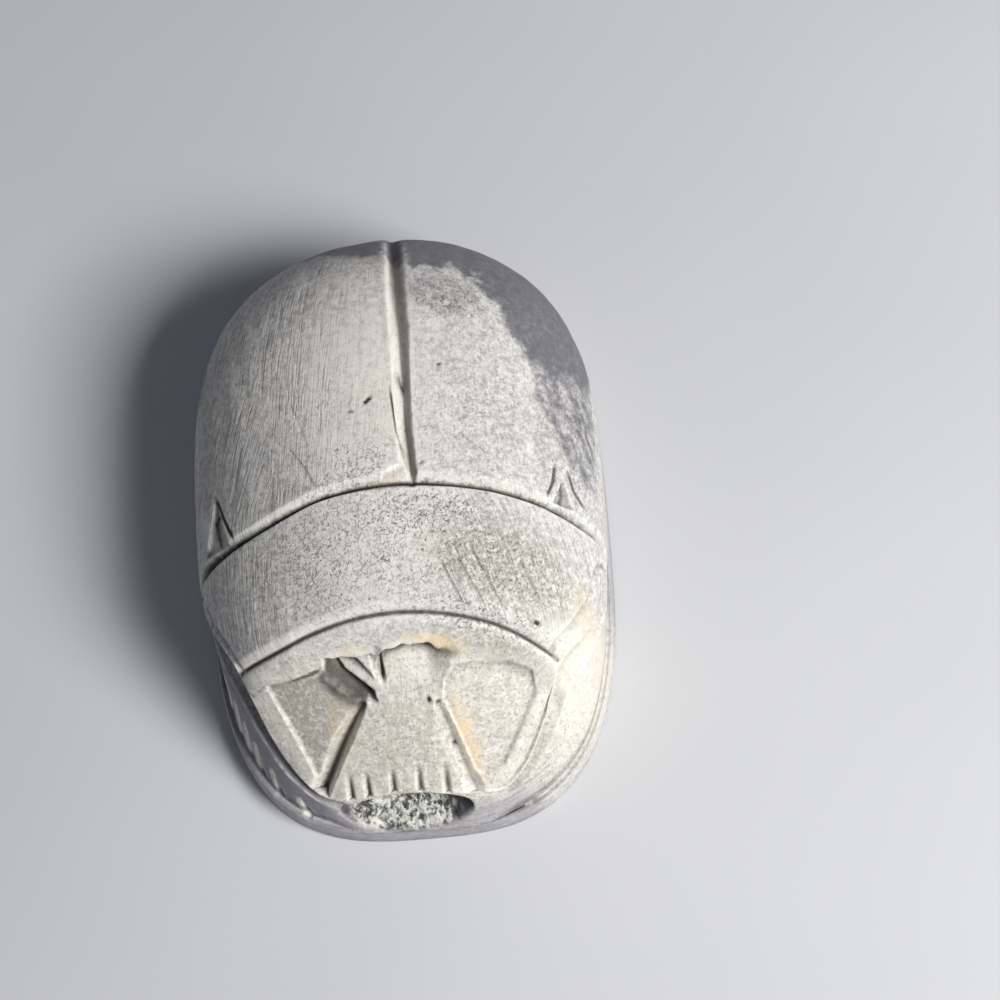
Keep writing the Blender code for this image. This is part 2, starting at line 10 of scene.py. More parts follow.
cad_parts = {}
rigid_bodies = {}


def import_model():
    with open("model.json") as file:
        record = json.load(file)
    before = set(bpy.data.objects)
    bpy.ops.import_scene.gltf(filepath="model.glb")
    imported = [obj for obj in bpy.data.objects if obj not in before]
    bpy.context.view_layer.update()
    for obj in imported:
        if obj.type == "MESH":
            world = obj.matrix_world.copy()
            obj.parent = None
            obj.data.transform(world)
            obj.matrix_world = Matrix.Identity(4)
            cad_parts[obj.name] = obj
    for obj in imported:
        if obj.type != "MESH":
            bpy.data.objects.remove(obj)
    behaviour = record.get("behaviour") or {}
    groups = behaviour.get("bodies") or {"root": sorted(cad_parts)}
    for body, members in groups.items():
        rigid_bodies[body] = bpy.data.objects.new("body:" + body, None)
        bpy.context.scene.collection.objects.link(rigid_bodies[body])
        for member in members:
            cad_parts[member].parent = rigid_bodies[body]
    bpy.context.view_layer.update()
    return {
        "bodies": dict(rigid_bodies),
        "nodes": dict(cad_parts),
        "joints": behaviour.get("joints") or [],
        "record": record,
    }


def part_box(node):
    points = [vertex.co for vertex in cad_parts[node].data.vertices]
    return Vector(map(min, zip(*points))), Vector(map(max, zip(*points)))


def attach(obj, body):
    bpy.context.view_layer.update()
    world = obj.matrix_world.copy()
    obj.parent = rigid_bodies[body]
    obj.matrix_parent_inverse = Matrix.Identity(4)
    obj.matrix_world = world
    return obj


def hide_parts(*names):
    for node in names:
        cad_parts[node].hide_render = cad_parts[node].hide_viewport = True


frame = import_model()

# Overall sizes, in millimetres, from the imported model
MM = 0.001
NODE_LOW, NODE_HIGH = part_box("scarab")
WIDTH = (NODE_HIGH[0] - NODE_LOW[0]) / MM
LENGTH = (NODE_HIGH[1] - NODE_LOW[1]) / MM
HEIGHT = (NODE_HIGH[2] - NODE_LOW[2]) / MM

# Plinth
PLINTH_HEIGHT = 3.2
PLINTH_SQUARENESS = 3
PLINTH_BATTER = 0.35
FOOT_BEVEL = 0.45
LEDGE = 0.95
LEDGE_DIP = 0.3
LEDGE_FADES_AT = 5
LEDGE_FULL_AT = 10
LEDGE_AT_MOUTH = 0.3
UNDERSIDE_RING = 0.45
PLINTH_SIDE_STEPS = (0.4, 0.8, 1)
LEDGE_STEPS = (0.4, 1)

# Back, made of the wing cases and the thorax
BACK_EDGE_HEIGHT = 8.5
SIDE_SET_IN = 0.36
REAR_SET_IN = 2.2
FRONT_SET_IN = 5.7
BACK_ROUNDING_ACROSS = 2
BACK_ROUNDING_ALONG = 3.3
BACK_FULLNESS = 2.3

# Head, a slope that falls to the front edge over the mouth
HEAD_TOP_DROP = 2
HEAD_TOP_SET_IN = 17
MOUTH_HEIGHT = 8
MOUTH_SET_IN = 3.5
CHEEK_FALL = 8.6
HEAD_STEP = 0.7
HEAD_BAND = 3.2

# Cuts: the width of each wall of a V cut, and its depth
WING_LINE = {"behind": 1, "before": 0.26, "depth": 0.8}
NECK_LINE = {"behind": 1.1, "before": 0.22, "depth": 0.5}
SUTURE_DEPTH = 1
SUTURE_REAR_DEPTH = 0.2
SUTURE_RIGHT_WALL = {"rear": 1.25, "front": 0.5}
SUTURE_LEFT_WALL = {"rear": 0.18, "front": 0.95}
SUTURE_DEEPENS_BY = 0.2
SUTURE_OPENS_BY = 0.5
LEFT_RIM_WIDTH = 0.3
RIGHT_RIM_WIDTH = 0.95
RIM_CUT = 0.28
RIM_DEPTH = 0.4
SHOULDER_NOTCH_DEPTH = 0.45
CHIP_DEPTH = 0.45
PLATE_DEPTH = 0.42
RIGHT_PLATE_DEPTH = 0.28
PLATE_WALL = 0.3
LEFT_PLATE_TILT = 0.07
LEFT_PLATE_TILT_ENDS = 5
LEFT_CHEEK_CUT = {"outer": 1.15, "inner": 0.45, "depth": 1.6}
RIGHT_CHEEK_CUT = {"outer": 0.7, "inner": 0.9, "depth": 0.6}
CHEEK_CUT_START = 0.35
CHEEK_CUT_RUN_IN = 0.08
CHEEK_CUT_LEAST_WALL = 0.15
TOOTH_CUT_WIDTH = 0.36
TOOTH_CUT_DEPTH = 0.7
TOOTH_CUT_LENGTH = 2.3
BROW_HOLLOW_DEPTH = 1.7
BROW_HOLLOW_AT_FOOT = 0.05
BROW_RAMP = 2.6
BROW_CHANNEL = {"outer": 1.2, "inner": 0.5, "depth": 2.1}
BROW_CLEFT = {"width": 0.5, "depth": 2}
BROW_STUMP_DROP = 0.45
MOUTH_HOLLOW_DEPTH = 3
MOUTH_HOLLOW_LIP = 0.35
MOUTH_HOLLOW_WALL = 0.32
MOUTH_FLOOR_RISE = 0.9
LIP_WIDTH = 0.45
LIP_HEIGHT = 0.18

# Legs, in relief on the wall between the plinth and the back
WALL_RECESS = 0.9
WALL_RECESS_FADE = 0.12
LEG_WIDTH = 2.3
LEG_CUT_REAR = 1.1
LEG_CUT_FRONT = 0.3
LEG_CUT_DEPTH = {"left": 1.15, "right": 0.5}
FORELEG_SWELL = 0.85
FORELEG_TOP = 0.68
FORELEG_END_LENGTH = 2
PLATE_OVERHANG = 0.85
PLATE_OVERHANG_AT = 0.8
PLATE_OVERHANG_SPAN = 0.19
OVERHANG_FADES_AT = 6.5
OVERHANG_FULL_AT = 9

# Places on the plan, in millimetres on a plan of 40.2 by 60, which follow the real size
PLAN_WIDTH = 40.2
PLAN_LENGTH = 60
HEAD_OUTLINE = [
    (-19.45, -7), (-18.2, -10.7), (-15.7, -15.3), (-14.2, -18.8), (-12.1, -23),
    (-9.8, -25.8), (-8, -26.6), (-1.9, -26.6), (5.4, -27), (8, -26.7),
    (9.9, -25.1), (11.9, -21.9), (13.3, -18.5), (14.1, -17), (16.5, -14.5),
    (18.2, -12), (19.3, -8.6),
]
OUTLINE_JOIN = math.radians(6)
WING_LINE_PLACE = [
    (-19.5, -6.3), (-16.2, -5.2), (-11.1, -3.6), (-6, -2), (0.5, -1.45),
    (6, -1.8), (10.1, -2.45), (14.5, -3.75), (19.5, -6),
]
WING_LINE_SWEEP = 0.2
WING_LINE_SWEPT_BELOW = 0.6
NECK_LINE_PLACE = [
    (-16.5, -15.7), (-12, -15), (-8, -14), (-3.5, -13.2), (0.4, -13.05),
    (4.8, -13.5), (9.1, -14.6), (12.9, -16.4), (15, -17.6),
]
SUTURE_PLACE = [(0.9, 28), (1.5, 22), (2, 13.6), (2.05, 4), (2.35, -1.4)]
SHOULDER_NOTCHES = [
    [(-16.8, 0.7), (-15.3, -4.4), (-18.2, -4.6)],
    [(15.9, -0.5), (16.8, -3.6), (14.7, -3.2)],
]
CHIP_PLACE = [(-1.6, -1.7), (-0.4, -0.3), (1.6, 0.5), (2.3, -0.2), (2.4, -1.7)]
LEFT_PLATE = [
    (-13.3, -16.9), (-11.6, -20.3), (-10, -23.9), (-9.6, -25.2), (-4.6, -19.2),
    (-6, -18.4), (-7.8, -16.8),
]
RIGHT_PLATE = [
    (4.5, -16.9), (9.5, -16.9), (11.6, -17.6), (11.8, -19.3), (9.9, -22.4),
    (8.2, -25), (6.4, -25.8), (5.3, -25.4), (3.2, -19.6), (3.3, -18.2),
]
LEFT_CHEEK_PLACE = [(-3.8, -19.1), (-6.9, -22.8), (-9.6, -26.4)]
RIGHT_CHEEK_PLACE = [(2.5, -19.5), (3.7, -23), (5.2, -26.9)]
TOOTH_CUTS_AT = [-6.55, -4.9, -2.45, 0.05, 2.6]
BROW_HOLLOW = [
    (-7.5, -15.8), (-2.2, -15.9), (1, -15.5), (4.6, -15.9), (4.3, -17.6), (2.7, -19.4),
    (-3.4, -19.6), (-5.8, -18.6), (-7.1, -17.2),
]
BROW_RIGHT_END = 4.6
BROW_TOP = -15.8
BROW_FOOT = -19.4
BROW_CHANNEL_PLACE = [(-6.9, -15.9), (-5.9, -17.3), (-3.4, -19)]
BROW_STUMP = [(-5.2, -15.7), (-2.9, -15.5), (-2.7, -18.3)]
BROW_CLEFT_PLACE = [(-2, -15.2), (-2.3, -16.6), (-2.2, -17.9)]
MOUTH_HOLLOW = {"centre": -1.6, "half_width": 6.4, "foot": 3}
LEFT_LEG_CUTS = [(-18.9, -12.9), (-18.5, -15.1), (-18, -17.2), (-17.1, -19.6),
                 (-16.3, -21.6), (-15.3, -23.4), (-13.4, -25.2), (-10.6, -27.2)]
RIGHT_LEG_CUTS = [(18.6, -15), (18, -17.3), (17.1, -19.5), (16.5, -21.3),
                  (15.2, -23.4), (14, -24.8), (12.2, -26.5), (10, -27.7)]
LEG_CUT_SLANT = 1.6
LEG_CUT_TOP = 0.46
LEG_CUT_FOOT = 0.03
MIDDLE_LEG = [(-4.5, 0.95), (2, 0.55), (8.5, 0.12)]
HIND_LEG = [(4, 0.95), (11, 0.6), (19, 0.42), (25.5, 0.15)]
FORELEG_ENDS_AT = -7.5
HIND_CUTS_AT = [13.5, 16, 18.5, 21]
HIND_CUT = {"foot": 0.1, "top": 0.6, "depth": 0.5}

# Fine lines and small pits in the upper surface: places, width, depth and how dark they are with dirt and
# painted shade
FINE_LINES = [
    ([(13.2, -18.9), (12.3, -20.7), (11.3, -22.6), (9.9, -24.8), (8.4, -26.2)], 0.28, 0.22, 0.2),
    ([(-10.8, -17.1), (-9.2, -16.8), (-7.6, -16.5)], 0.22, 0.2, 0.8),
    ([(0.75, 8), (1.1, 3.6), (1.8, 0.4)], 0.2, 0.22, 0.7),
    ([(-16.3, -15.9), (-14.6, -17.4), (-12.6, -16.8)], 0.16, 0.12, 0.2),
    ([(-15.2, -2), (-13.6, 5)], 0.14, 0.06, 0.3),
    ([(4.3, -8.8), (6.1, -13)], 0.24, 0.12, 0.35),
    ([(5.6, -8.2), (7.8, -12.6)], 0.2, 0.1, 0.25),
    ([(7, -7.5), (9.3, -12.5)], 0.22, 0.1, 0.35),
    ([(11.4, -8.8), (12.8, -12.3)], 0.18, 0.09, 0.3),
    ([(-16.4, -0.4), (-17, -1.6), (-16.9, -2.8), (-16.5, -4.2)], 0.34, 0.35, 1),
    ([(-16.8, 0.9), (-16, -1.4), (-14.9, -3.9)], 0.34, 0.3, 0.9),
    ([(15.2, 0.6), (14.9, -1.2), (14.3, -2.6)], 0.26, 0.2, 0.8),
    ([(16.4, 0), (16.8, -1.6), (17.6, -3)], 0.24, 0.16, 0.8),
    ([(15.6, -1), (15.9, -2.2), (15.5, -3.4)], 0.3, 0.2, 0.7),
    ([(18.2, 6.4), (18.5, 5.2), (18.45, 4.4), (18.8, 3.4), (19, 2)], 0.24, 0.1, 0.5),
    ([(-1.7, 6.5), (-1, 7.1)], 0.34, 0.14, 1),
    ([(1.6, 9.1), (2, 7.6)], 0.26, 0.12, 1),
    ([(5.3, 9.8), (5.5, 10)], 0.3, 0.12, 0.9),
    ([(-3.2, 5.9), (-2.7, 5.9)], 0.3, 0.1, 0.6),
    ([(12.2, -14.2), (12.6, -14.4)], 0.4, 0.16, 1),
    ([(1.8, -19.4), (2, -19.8)], 0.4, 0.16, 1),
    ([(2.5, -19.9), (2.9, -19.7)], 0.3, 0.12, 0.8),
    ([(3.7, -23.1), (3.9, -23.3)], 0.4, 0.14, 0.9),
    ([(-9, 3.5), (-7.4, 1), (-6.6, -0.9)], 0.14, 0.05, 0.5),
    ([(-10.6, 1.2), (-10.9, -2.6)], 0.16, 0.06, 0.5),
    ([(-8.6, 7.8), (-7.2, 3.4)], 0.12, 0.05, 0.4),
    ([(6.6, 3.4), (7.9, 2.2), (9.5, 0.9)], 0.12, 0.05, 0.3),
    ([(3, 3.7), (4.1, 4), (5, 3.3), (5.6, 1.9)], 0.12, 0.05, 0.25),
    ([(2.6, -0.6), (2.9, 0.3), (3.6, 0.5)], 0.3, 0.08, 0.6),
    ([(8.6, 4.7), (10.4, 4.8)], 0.1, 0.04, 0.25),
]

# Soft oval patches that colour the stone: strength, middle, reach and turn in degrees
PATCHES = {
    # Pale patches: painted highlight on lit faces and in the shoulder notches, with stone worn pale
    "pale": [
        (1, (-13.4, -16.3), (1.4, 0.55), -8),
        (1, (0.6, -17.4), (1.8, 1.3), -10),
        (1, (-4.2, -16.4), (0.9, 1.1), 20),
        (1, (-17.6, -2.6), (0.55, 3.2), 16),
        (0.8, (-16, -2.6), (0.5, 1.7), -14),
        (0.8, (-16.6, -3), (1.1, 2.2), 14),
        (0.8, (0.3, -0.7), (2.2, 0.9), 14),
    ],
    "crackle": [
        (1, (-1.5, -7.2), (11.5, 6.4), 8),
        (0.6, (9, -8.6), (7, 4.5), -14),
        (0.9, (-4.6, 0.9), (5.6, 2.4), 12),
        (0.4, (-4.5, 5), (6, 5.5), 0),
        (0.5, (7, 3.5), (6, 6.5), 0),
    ],
    "blotches": [
        (1, (6.2, 17.6), (4.6, 2.8), -20),
        (0.8, (15.6, 1), (2.6, 7), 10),
    ],
    "shade": [
        (0.95, (10, -9.4), (6.4, 4), -22),
    ],
    "head shade": [
        (0.35, (-12, -21), (1.8, 4.5), 26),
        (0.28, (-0.5, -23), (4.5, 4.5), 0),
    ],
    "dust": [
        (1, (7, -13.8), (5.6, 1.2), -14),
        (0.75, (3, -4.2), (4.5, 1.9), 0),
        (0.65, (10.5, -9.6), (5, 3), -20),
        (0.4, (-1, -6), (9, 5), 0),
        (0.6, (-2.8, 0.2), (3.2, 1.3), 12),
        (0.5, (15.8, -1), (2, 2), 0),
        (0.55, (6, 17.4), (4.2, 2.2), -20),
    ],
    "orange": [
        (1, (2.9, -15.5), (2.5, 0.6), -8),
        (0.8, (5, -22.8), (0.8, 3), 14),
        (0.5, (-4.6, -15.5), (1.4, 0.4), 0),
        (0.3, (17.2, -14), (1.2, 3.4), 14),
        (0.2, (15.4, -19.4), (1.2, 3), 20),
        (0.5, (0, -1.1), (1.1, 0.45), 20),
        (0.25, (-6.6, -21), (1.6, 2.8), 0),
    ],
}

# Fineness of the carved surface, and the faces kept of it
COLUMNS = 1000
PLINTH_ROWS = 8
WALL_ROWS = 90
TOP_ROWS = 270
FRONT_FINENESS = 0.45
FACES_KEPT = 190000
ROUNDING_CENTRE = 6
CRACK_BEND_SIZE = 1 / 2.2
RELIEF_HEIGHT = 0.07


def smooth(share):
    """Ease from 0 to 1 as share goes from 0 to 1."""
    share = np.clip(share, 0.0, 1.0)
    return share * share * (3 - 2 * share)


def ramp(value, start, width):
    """Ease from 0 to 1 as a value goes on from its start by a width, which is negative downward."""
    return smooth((value - start) / width)


def on_plan(points):
    """Places of the plan at the real width and length."""
    return np.array(points) * (WIDTH / PLAN_WIDTH, LENGTH / PLAN_LENGTH)


def curve(points):
    """A smooth line through points given in rising order, as a function of the first value."""
    knots, values = np.array(sorted(map(tuple, points))).T
    gaps = np.diff(knots)
    slopes = np.diff(values) / gaps
    tangents = np.concatenate((slopes[:1], slopes, slopes[-1:]))
    tangents = 0.5 * (tangents[1:] + tangents[:-1])

    def value(at):
        i = np.clip(np.searchsorted(knots, at) - 1, 0, len(gaps) - 1)
        gap = gaps[i]
        t = np.clip((at - knots[i]) / gap, 0, 1)
        rise = (3 - 2 * t) * t * t
        start = t * (1 - t) ** 2 * gap * tangents[i]
        end = t * t * (t - 1) * gap * tangents[i + 1]
        return values[i] * (1 - rise) + values[i + 1] * rise + start + end

    return value


def along(points, x, y):
    """Signed distance to a line of straight stretches, positive on its left, and the share along it."""
    points = np.asarray(points, dtype=float)
    steps = np.diff(points, axis=0)
    lengths = np.hypot(*steps.T)
    nearest = np.full(x.shape, np.inf)
    side = np.ones(x.shape)
    share = np.zeros(x.shape)
    walked = 0
    for (px, py), (dx, dy), length in zip(points[:-1], steps, lengths):
        t = np.clip(((x - px) * dx + (y - py) * dy) / length**2, 0, 1)
        distance = np.hypot(x - px - t * dx, y - py - t * dy)
        closer = distance < nearest
        nearest = np.where(closer, distance, nearest)
        turn = dx * (y - py) - dy * (x - px)
        side = np.where(closer, np.where(turn >= 0, 1, -1), side)
        share = np.where(closer, (walked + t * length) / lengths.sum(), share)
        walked += length
    return nearest * side, share


def near(points, x, y):
    """The same distance and share for a line of the plan."""
    return along(on_plan(points), x, y)


def inside(points, x, y):
    """Distance to the border of an outline of the plan, positive inside it."""
    points = on_plan(points)
    closed = np.vstack((points, points[:1]))
    distance = np.abs(along(closed, x, y)[0])
    within = np.zeros(x.shape, dtype=bool)
    for (ax, ay), (bx, by) in zip(closed[:-1], closed[1:]):
        if ay == by:
            continue
        crosses = (ay > y) != (by > y)
        within ^= crosses & (x < (bx - ax) * (y - ay) / (by - ay) + ax)
    return np.where(within, distance, -distance)


def vee(across, left, right):
    """Depth share of a V cut with a wall of its own width on each side of its bottom."""
    wall = np.where(across >= 0, left, right)
    return np.clip(1 - np.abs(across) / wall, 0, 1)


def corner_value(ix, iy, iz, seed):
    """A fixed value from -1 to 1 for each corner of a cubic lattice."""
    mixed = (ix * 73856093) ^ (iy * 19349663) ^ (iz * 83492791) ^ (seed * 265443576)
    mixed = ((mixed ^ (mixed >> 13)) * 1274126177) & 0x7FFFFFFF
    mixed = mixed ^ (mixed >> 16)
    return (mixed & 0xFFFF) / 32767.5 - 1


def noise(x, y, z, size, seed):
    """Smooth noise from -1 to 1, with lumps of the given size in millimetres along X, Y and Z."""
    sizes = np.broadcast_to(size, 3)
    cells, parts = [], []
    for value, step in zip((x, y, z), sizes):
        scaled = value / step
        cell = np.floor(scaled)
        part = scaled - cell
        cells.append(cell.astype(np.int64))
        parts.append(part * part * (3 - 2 * part))
    total = np.zeros(x.shape)
    for corner in range(8):
        bits = [(corner >> axis) & 1 for axis in range(3)]
        weight = 1
        for bit, part in zip(bits, parts):
            weight = weight * (part if bit else 1 - part)
        total += weight * corner_value(*[cell + bit for cell, bit in zip(cells, bits)], seed)
    return total


def back_centre():
    """Y of the middle of the back."""
    return 0.5 * (FRONT_SET_IN - REAR_SET_IN)


def back_plan(x, y):
    """0 on the outline of the back, 1 at its middle."""
    half_width = 0.5 * WIDTH - SIDE_SET_IN
    half_length = 0.5 * (LENGTH - FRONT_SET_IN - REAR_SET_IN)
    across = (np.abs(x) / half_width) ** BACK_ROUNDING_ACROSS
    lengthways = (np.abs(y - back_centre()) / half_length) ** BACK_ROUNDING_ALONG
    return 1 - across - lengthways


def back_height(x, y):
    """Height of the wing cases and thorax, before carving."""
    rise = np.clip(back_plan(x, y), 0, 1) ** (1 / BACK_FULLNESS)
    return BACK_EDGE_HEIGHT + (HEIGHT - BACK_EDGE_HEIGHT) * rise


def head_height(x, y):
    """Height of the sloping face of the head, before carving."""
    top = -0.5 * LENGTH + HEAD_TOP_SET_IN
    mouth = -0.5 * LENGTH + MOUTH_SET_IN
    slope = (HEIGHT - HEAD_TOP_DROP - MOUTH_HEIGHT) / (top - mouth)
    return MOUTH_HEIGHT + (y - mouth) * slope - CHEEK_FALL * (2 * x / WIDTH) ** 2


def wing_line_off(x, y, z):
    """Distance behind the line between the wing cases and the thorax."""
    sweep = WING_LINE_SWEEP * np.clip(WING_LINE_SWEPT_BELOW * HEIGHT - z, 0, None)
    return y - curve(on_plan(WING_LINE_PLACE))(x) + sweep


def neck_line_off(x, y):
    """Distance behind the line between the thorax and the head."""
    return y - curve(on_plan(NECK_LINE_PLACE))(x)


def top_height(x, y):
    """Height of the whole upper surface: the back, then a step and a band down to the head."""
    behind = neck_line_off(x, y)
    step = HEAD_STEP * (1 - smooth(behind / NECK_LINE["behind"]))
    band = smooth(-behind / HEAD_BAND)
    back = back_height(x, y) - step
    return back * (1 - band) + head_height(x, y) * band


def oval_reach(angle, half_width, half_length, squareness):
    """Reach of an oval from its middle, along an angle measured from the front (-Y) to +X."""
    across = np.abs(np.sin(angle)) / half_width
    lengthways = np.abs(np.cos(angle)) / half_length
    return (across**squareness + lengthways**squareness) ** (-1 / squareness)


def back_reach(angle):
    """Reach of the upper surface's outline from the middle of the back."""
    low = np.zeros(angle.shape)
    high = np.full(angle.shape, LENGTH)
    for _ in range(40):
        middle = 0.5 * (low + high)
        held = back_plan(middle * np.sin(angle), back_centre() - middle * np.cos(angle)) > 0
        low = np.where(held, middle, low)
        high = np.where(held, high, middle)
    corners = on_plan(HEAD_OUTLINE) - (0, back_centre())
    corner_angles = np.arctan2(corners[:, 0], -corners[:, 1])
    head = curve(np.column_stack((corner_angles, np.hypot(*corners.T))))(angle)
    from_ends = np.minimum(angle - corner_angles.min(), corner_angles.max() - angle)
    share = smooth(from_ends / OUTLINE_JOIN)
    return low * (1 - share) + head * share


def front_edge():
    """Y of the head's front edge, over the mouth."""
    return on_plan(HEAD_OUTLINE)[8][1]


def ledge(x, y):
    """Width of the ledge on the plinth, which fades out below the mouth."""
    fade = smooth((np.abs(x) - LEDGE_FADES_AT) / (LEDGE_FULL_AT - LEDGE_FADES_AT))
    fade = np.where(y < 0, fade, 1)
    return LEDGE_AT_MOUTH + (LEDGE - LEDGE_AT_MOUTH) * fade


def plinth_ring(angle, inset):
    """Plan place of a ring of the plinth, set in from its outer edge."""
    reach = oval_reach(angle, 0.5 * WIDTH, 0.5 * LENGTH, PLINTH_SQUARENESS) - inset
    return reach * np.sin(angle), -reach * np.cos(angle)


def ring_angles():
    """Angle of each column, with the columns closer together toward the head."""
    even = np.linspace(-math.pi, math.pi, COLUMNS, endpoint=False)
    return even - FRONT_FINENESS * np.sin(even)


def uncarved_rings():
    """Places of all rings from the underside's middle to the top of the back, before carving."""
    angle = ring_angles()
    rings = [np.zeros((COLUMNS, 3))]
    edge = PLINTH_HEIGHT - PLINTH_BATTER
    steps = [(UNDERSIDE_RING * WIDTH, 0), (FOOT_BEVEL, 0), (0, FOOT_BEVEL)]
    for share in PLINTH_SIDE_STEPS:
        steps.append((PLINTH_BATTER * share, FOOT_BEVEL + (edge - FOOT_BEVEL) * share))
    for inset, height in steps:
        x, y = plinth_ring(angle, inset)
        rings.append(np.column_stack((x, y, np.full(COLUMNS, height))))
    x, y = plinth_ring(angle, PLINTH_BATTER)
    wide = ledge(x, y)
    for share in LEDGE_STEPS:
        inset = PLINTH_BATTER + (wide - LEDGE_AT_MOUTH) * share + (LEDGE_AT_MOUTH - PLINTH_BATTER) * share
        x, y = plinth_ring(angle, inset)
        height = PLINTH_HEIGHT - LEDGE_DIP * share * smooth(wide / LEDGE)
        rings.append(np.column_stack((x, y, height)))
    foot = rings[-1]
    reach = back_reach(angle)
    rim_x = reach * np.sin(angle)
    rim_y = back_centre() - reach * np.cos(angle)
    rim = np.column_stack((rim_x, rim_y, top_height(rim_x, rim_y)))
    for row in range(1, WALL_ROWS + 1):
        rings.append(foot + (rim - foot) * (row / WALL_ROWS))
    for row in range(1, TOP_ROWS + 1):
        share = math.sin(0.5 * math.pi * (1 - row / TOP_ROWS))
        x = rim_x * share
        y = back_centre() + (rim_y - back_centre()) * share
        rings.append(np.column_stack((x, y, top_height(x, y))))
    return np.array(rings)


def outward(rings):
    """Direction away from the stone at every place of the rings."""
    across = np.roll(rings, -1, axis=1) - np.roll(rings, 1, axis=1)
    upward = np.gradient(rings, axis=0)
    normal = np.cross(across, upward)
    normal[0] = (0, 0, -1)
    normal[-1] = (0, 0, 1)
    length = np.linalg.norm(normal, axis=2, keepdims=True)
    return normal / np.maximum(length, 1e-9)


def line_cuts(x, y, z):
    """The two lines across the back, the suture between the wing cases and the thorax's rims."""
    behind = wing_line_off(x, y, z)
    depth = WING_LINE["depth"] * vee(behind, WING_LINE["behind"], WING_LINE["before"])
    before = neck_line_off(x, y)
    neck = NECK_LINE["depth"] * vee(before, NECK_LINE["before"], NECK_LINE["before"])
    depth = np.maximum(depth, neck)
    depth = np.maximum(depth, np.where(behind > -WING_LINE["before"], suture_cut(x, y), 0))
    rim_width = np.where(x < 0, LEFT_RIM_WIDTH, RIGHT_RIM_WIDTH)
    rim = np.abs(near(HEAD_OUTLINE, x, y)[0]) - rim_width
    in_thorax = (behind < 0) & (before > 0)
    return np.maximum(depth, np.where(in_thorax, RIM_DEPTH * vee(rim, RIM_CUT, RIM_CUT), 0))


def between(sizes, share):
    """A size that goes from its rear value to its front value."""
    return sizes["rear"] + (sizes["front"] - sizes["rear"]) * smooth(share)


def suture_cut(x, y):
    """The cut between the wing cases, whose right wall narrows and left wall widens to the front."""
    off, share = near(SUTURE_PLACE, x, y)
    right = between(SUTURE_RIGHT_WALL, share)
    left = between(SUTURE_LEFT_WALL, share / SUTURE_OPENS_BY)
    deepening = smooth(share / SUTURE_DEEPENS_BY)
    depth = SUTURE_REAR_DEPTH + (SUTURE_DEPTH - SUTURE_REAR_DEPTH) * deepening
    return depth * vee(off, right, left)


def wing_marks(x, y):
    """The notches at the shoulders of the wing cases, and the chip at the suture's end."""
    depth = np.zeros(x.shape)
    for notch in SHOULDER_NOTCHES:
        border = inside(notch, x, y)
        depth = np.maximum(depth, SHOULDER_NOTCH_DEPTH * smooth(border / PLATE_WALL))
    chip = inside(CHIP_PLACE, x, y)
    return np.maximum(depth, CHIP_DEPTH * smooth(chip / PLATE_WALL))


def head_cuts(x, y):
    """Plates, cheek cuts, teeth of the front edge and the hollow at the brow."""
    left = smooth(inside(LEFT_PLATE, x, y) / PLATE_WALL)
    right = smooth(inside(RIGHT_PLATE, x, y) / PLATE_WALL)
    from_strip = np.abs(near(LEFT_PLATE[:4], x, y)[0])
    tilted = PLATE_DEPTH - LEFT_PLATE_TILT * np.clip(from_strip, 0, LEFT_PLATE_TILT_ENDS)
    depth = np.maximum(left * tilted, right * RIGHT_PLATE_DEPTH)
    for place, size in ((LEFT_CHEEK_PLACE, LEFT_CHEEK_CUT), (RIGHT_CHEEK_PLACE, RIGHT_CHEEK_CUT)):
        off, share = near(place, x, y)
        off = off if place is RIGHT_CHEEK_PLACE else -off
        opening = smooth(CHEEK_CUT_START + 2 * (1 - CHEEK_CUT_START) * share)
        opening = opening * smooth(share / CHEEK_CUT_RUN_IN)
        outer = size["outer"] * opening + CHEEK_CUT_LEAST_WALL
        cut = vee(off, outer, size["inner"] * opening + CHEEK_CUT_LEAST_WALL)
        depth = np.maximum(depth, size["depth"] * opening * cut)
    front = -0.5 * LENGTH + MOUTH_SET_IN
    for place in TOOTH_CUTS_AT:
        off = x - place * WIDTH / PLAN_WIDTH
        fade = smooth((front + TOOTH_CUT_LENGTH - y) / TOOTH_CUT_LENGTH)
        depth = np.maximum(depth, TOOTH_CUT_DEPTH * fade * vee(off, TOOTH_CUT_WIDTH, TOOTH_CUT_WIDTH))
    return np.maximum(depth, brow_hollow(x, y))


def brow_hollow(x, y):
    """A hollow that is deep under the brow and runs out on the face, with a stump left in it."""
    border = inside(BROW_HOLLOW, x, y) + 0.2 * noise(x, y, 0 * x, 0.8, 41)
    top = BROW_TOP * LENGTH / PLAN_LENGTH
    foot = BROW_FOOT * LENGTH / PLAN_LENGTH
    from_foot = np.clip((y - foot) / (top - foot), 0, 1)
    floor = BROW_HOLLOW_AT_FOOT + (BROW_HOLLOW_DEPTH - BROW_HOLLOW_AT_FOOT) * from_foot
    floor = floor * smooth((BROW_RIGHT_END * WIDTH / PLAN_WIDTH - x) / BROW_RAMP)
    off, _ = near(BROW_CHANNEL_PLACE, x, y)
    channel = BROW_CHANNEL["depth"] * vee(off, BROW_CHANNEL["inner"], BROW_CHANNEL["outer"])
    off, _ = near(BROW_CLEFT_PLACE, x, y)
    cleft = BROW_CLEFT["depth"] * vee(off, BROW_CLEFT["width"], BROW_CLEFT["width"])
    stump = smooth(inside(BROW_STUMP, x, y) / PLATE_WALL)
    cut = np.maximum(floor, np.maximum(channel, cleft))
    depth = cut * (1 - stump) + np.minimum(floor, BROW_STUMP_DROP) * stump
    return depth * smooth(border / PLATE_WALL)


def leaf(points, around, up, sign, steep_wall, gentle_wall=LEG_CUT_REAR):
    """Depth share of a leaf-shaped cut: a gentle wall on one side of its line, a steeper one on the other."""
    off, run = along(points, around, up)
    swelling = np.sqrt(np.clip(1 - (2 * run - 1) ** 2, 0, 1))
    return swelling * vee(off * sign, gentle_wall, steep_wall)


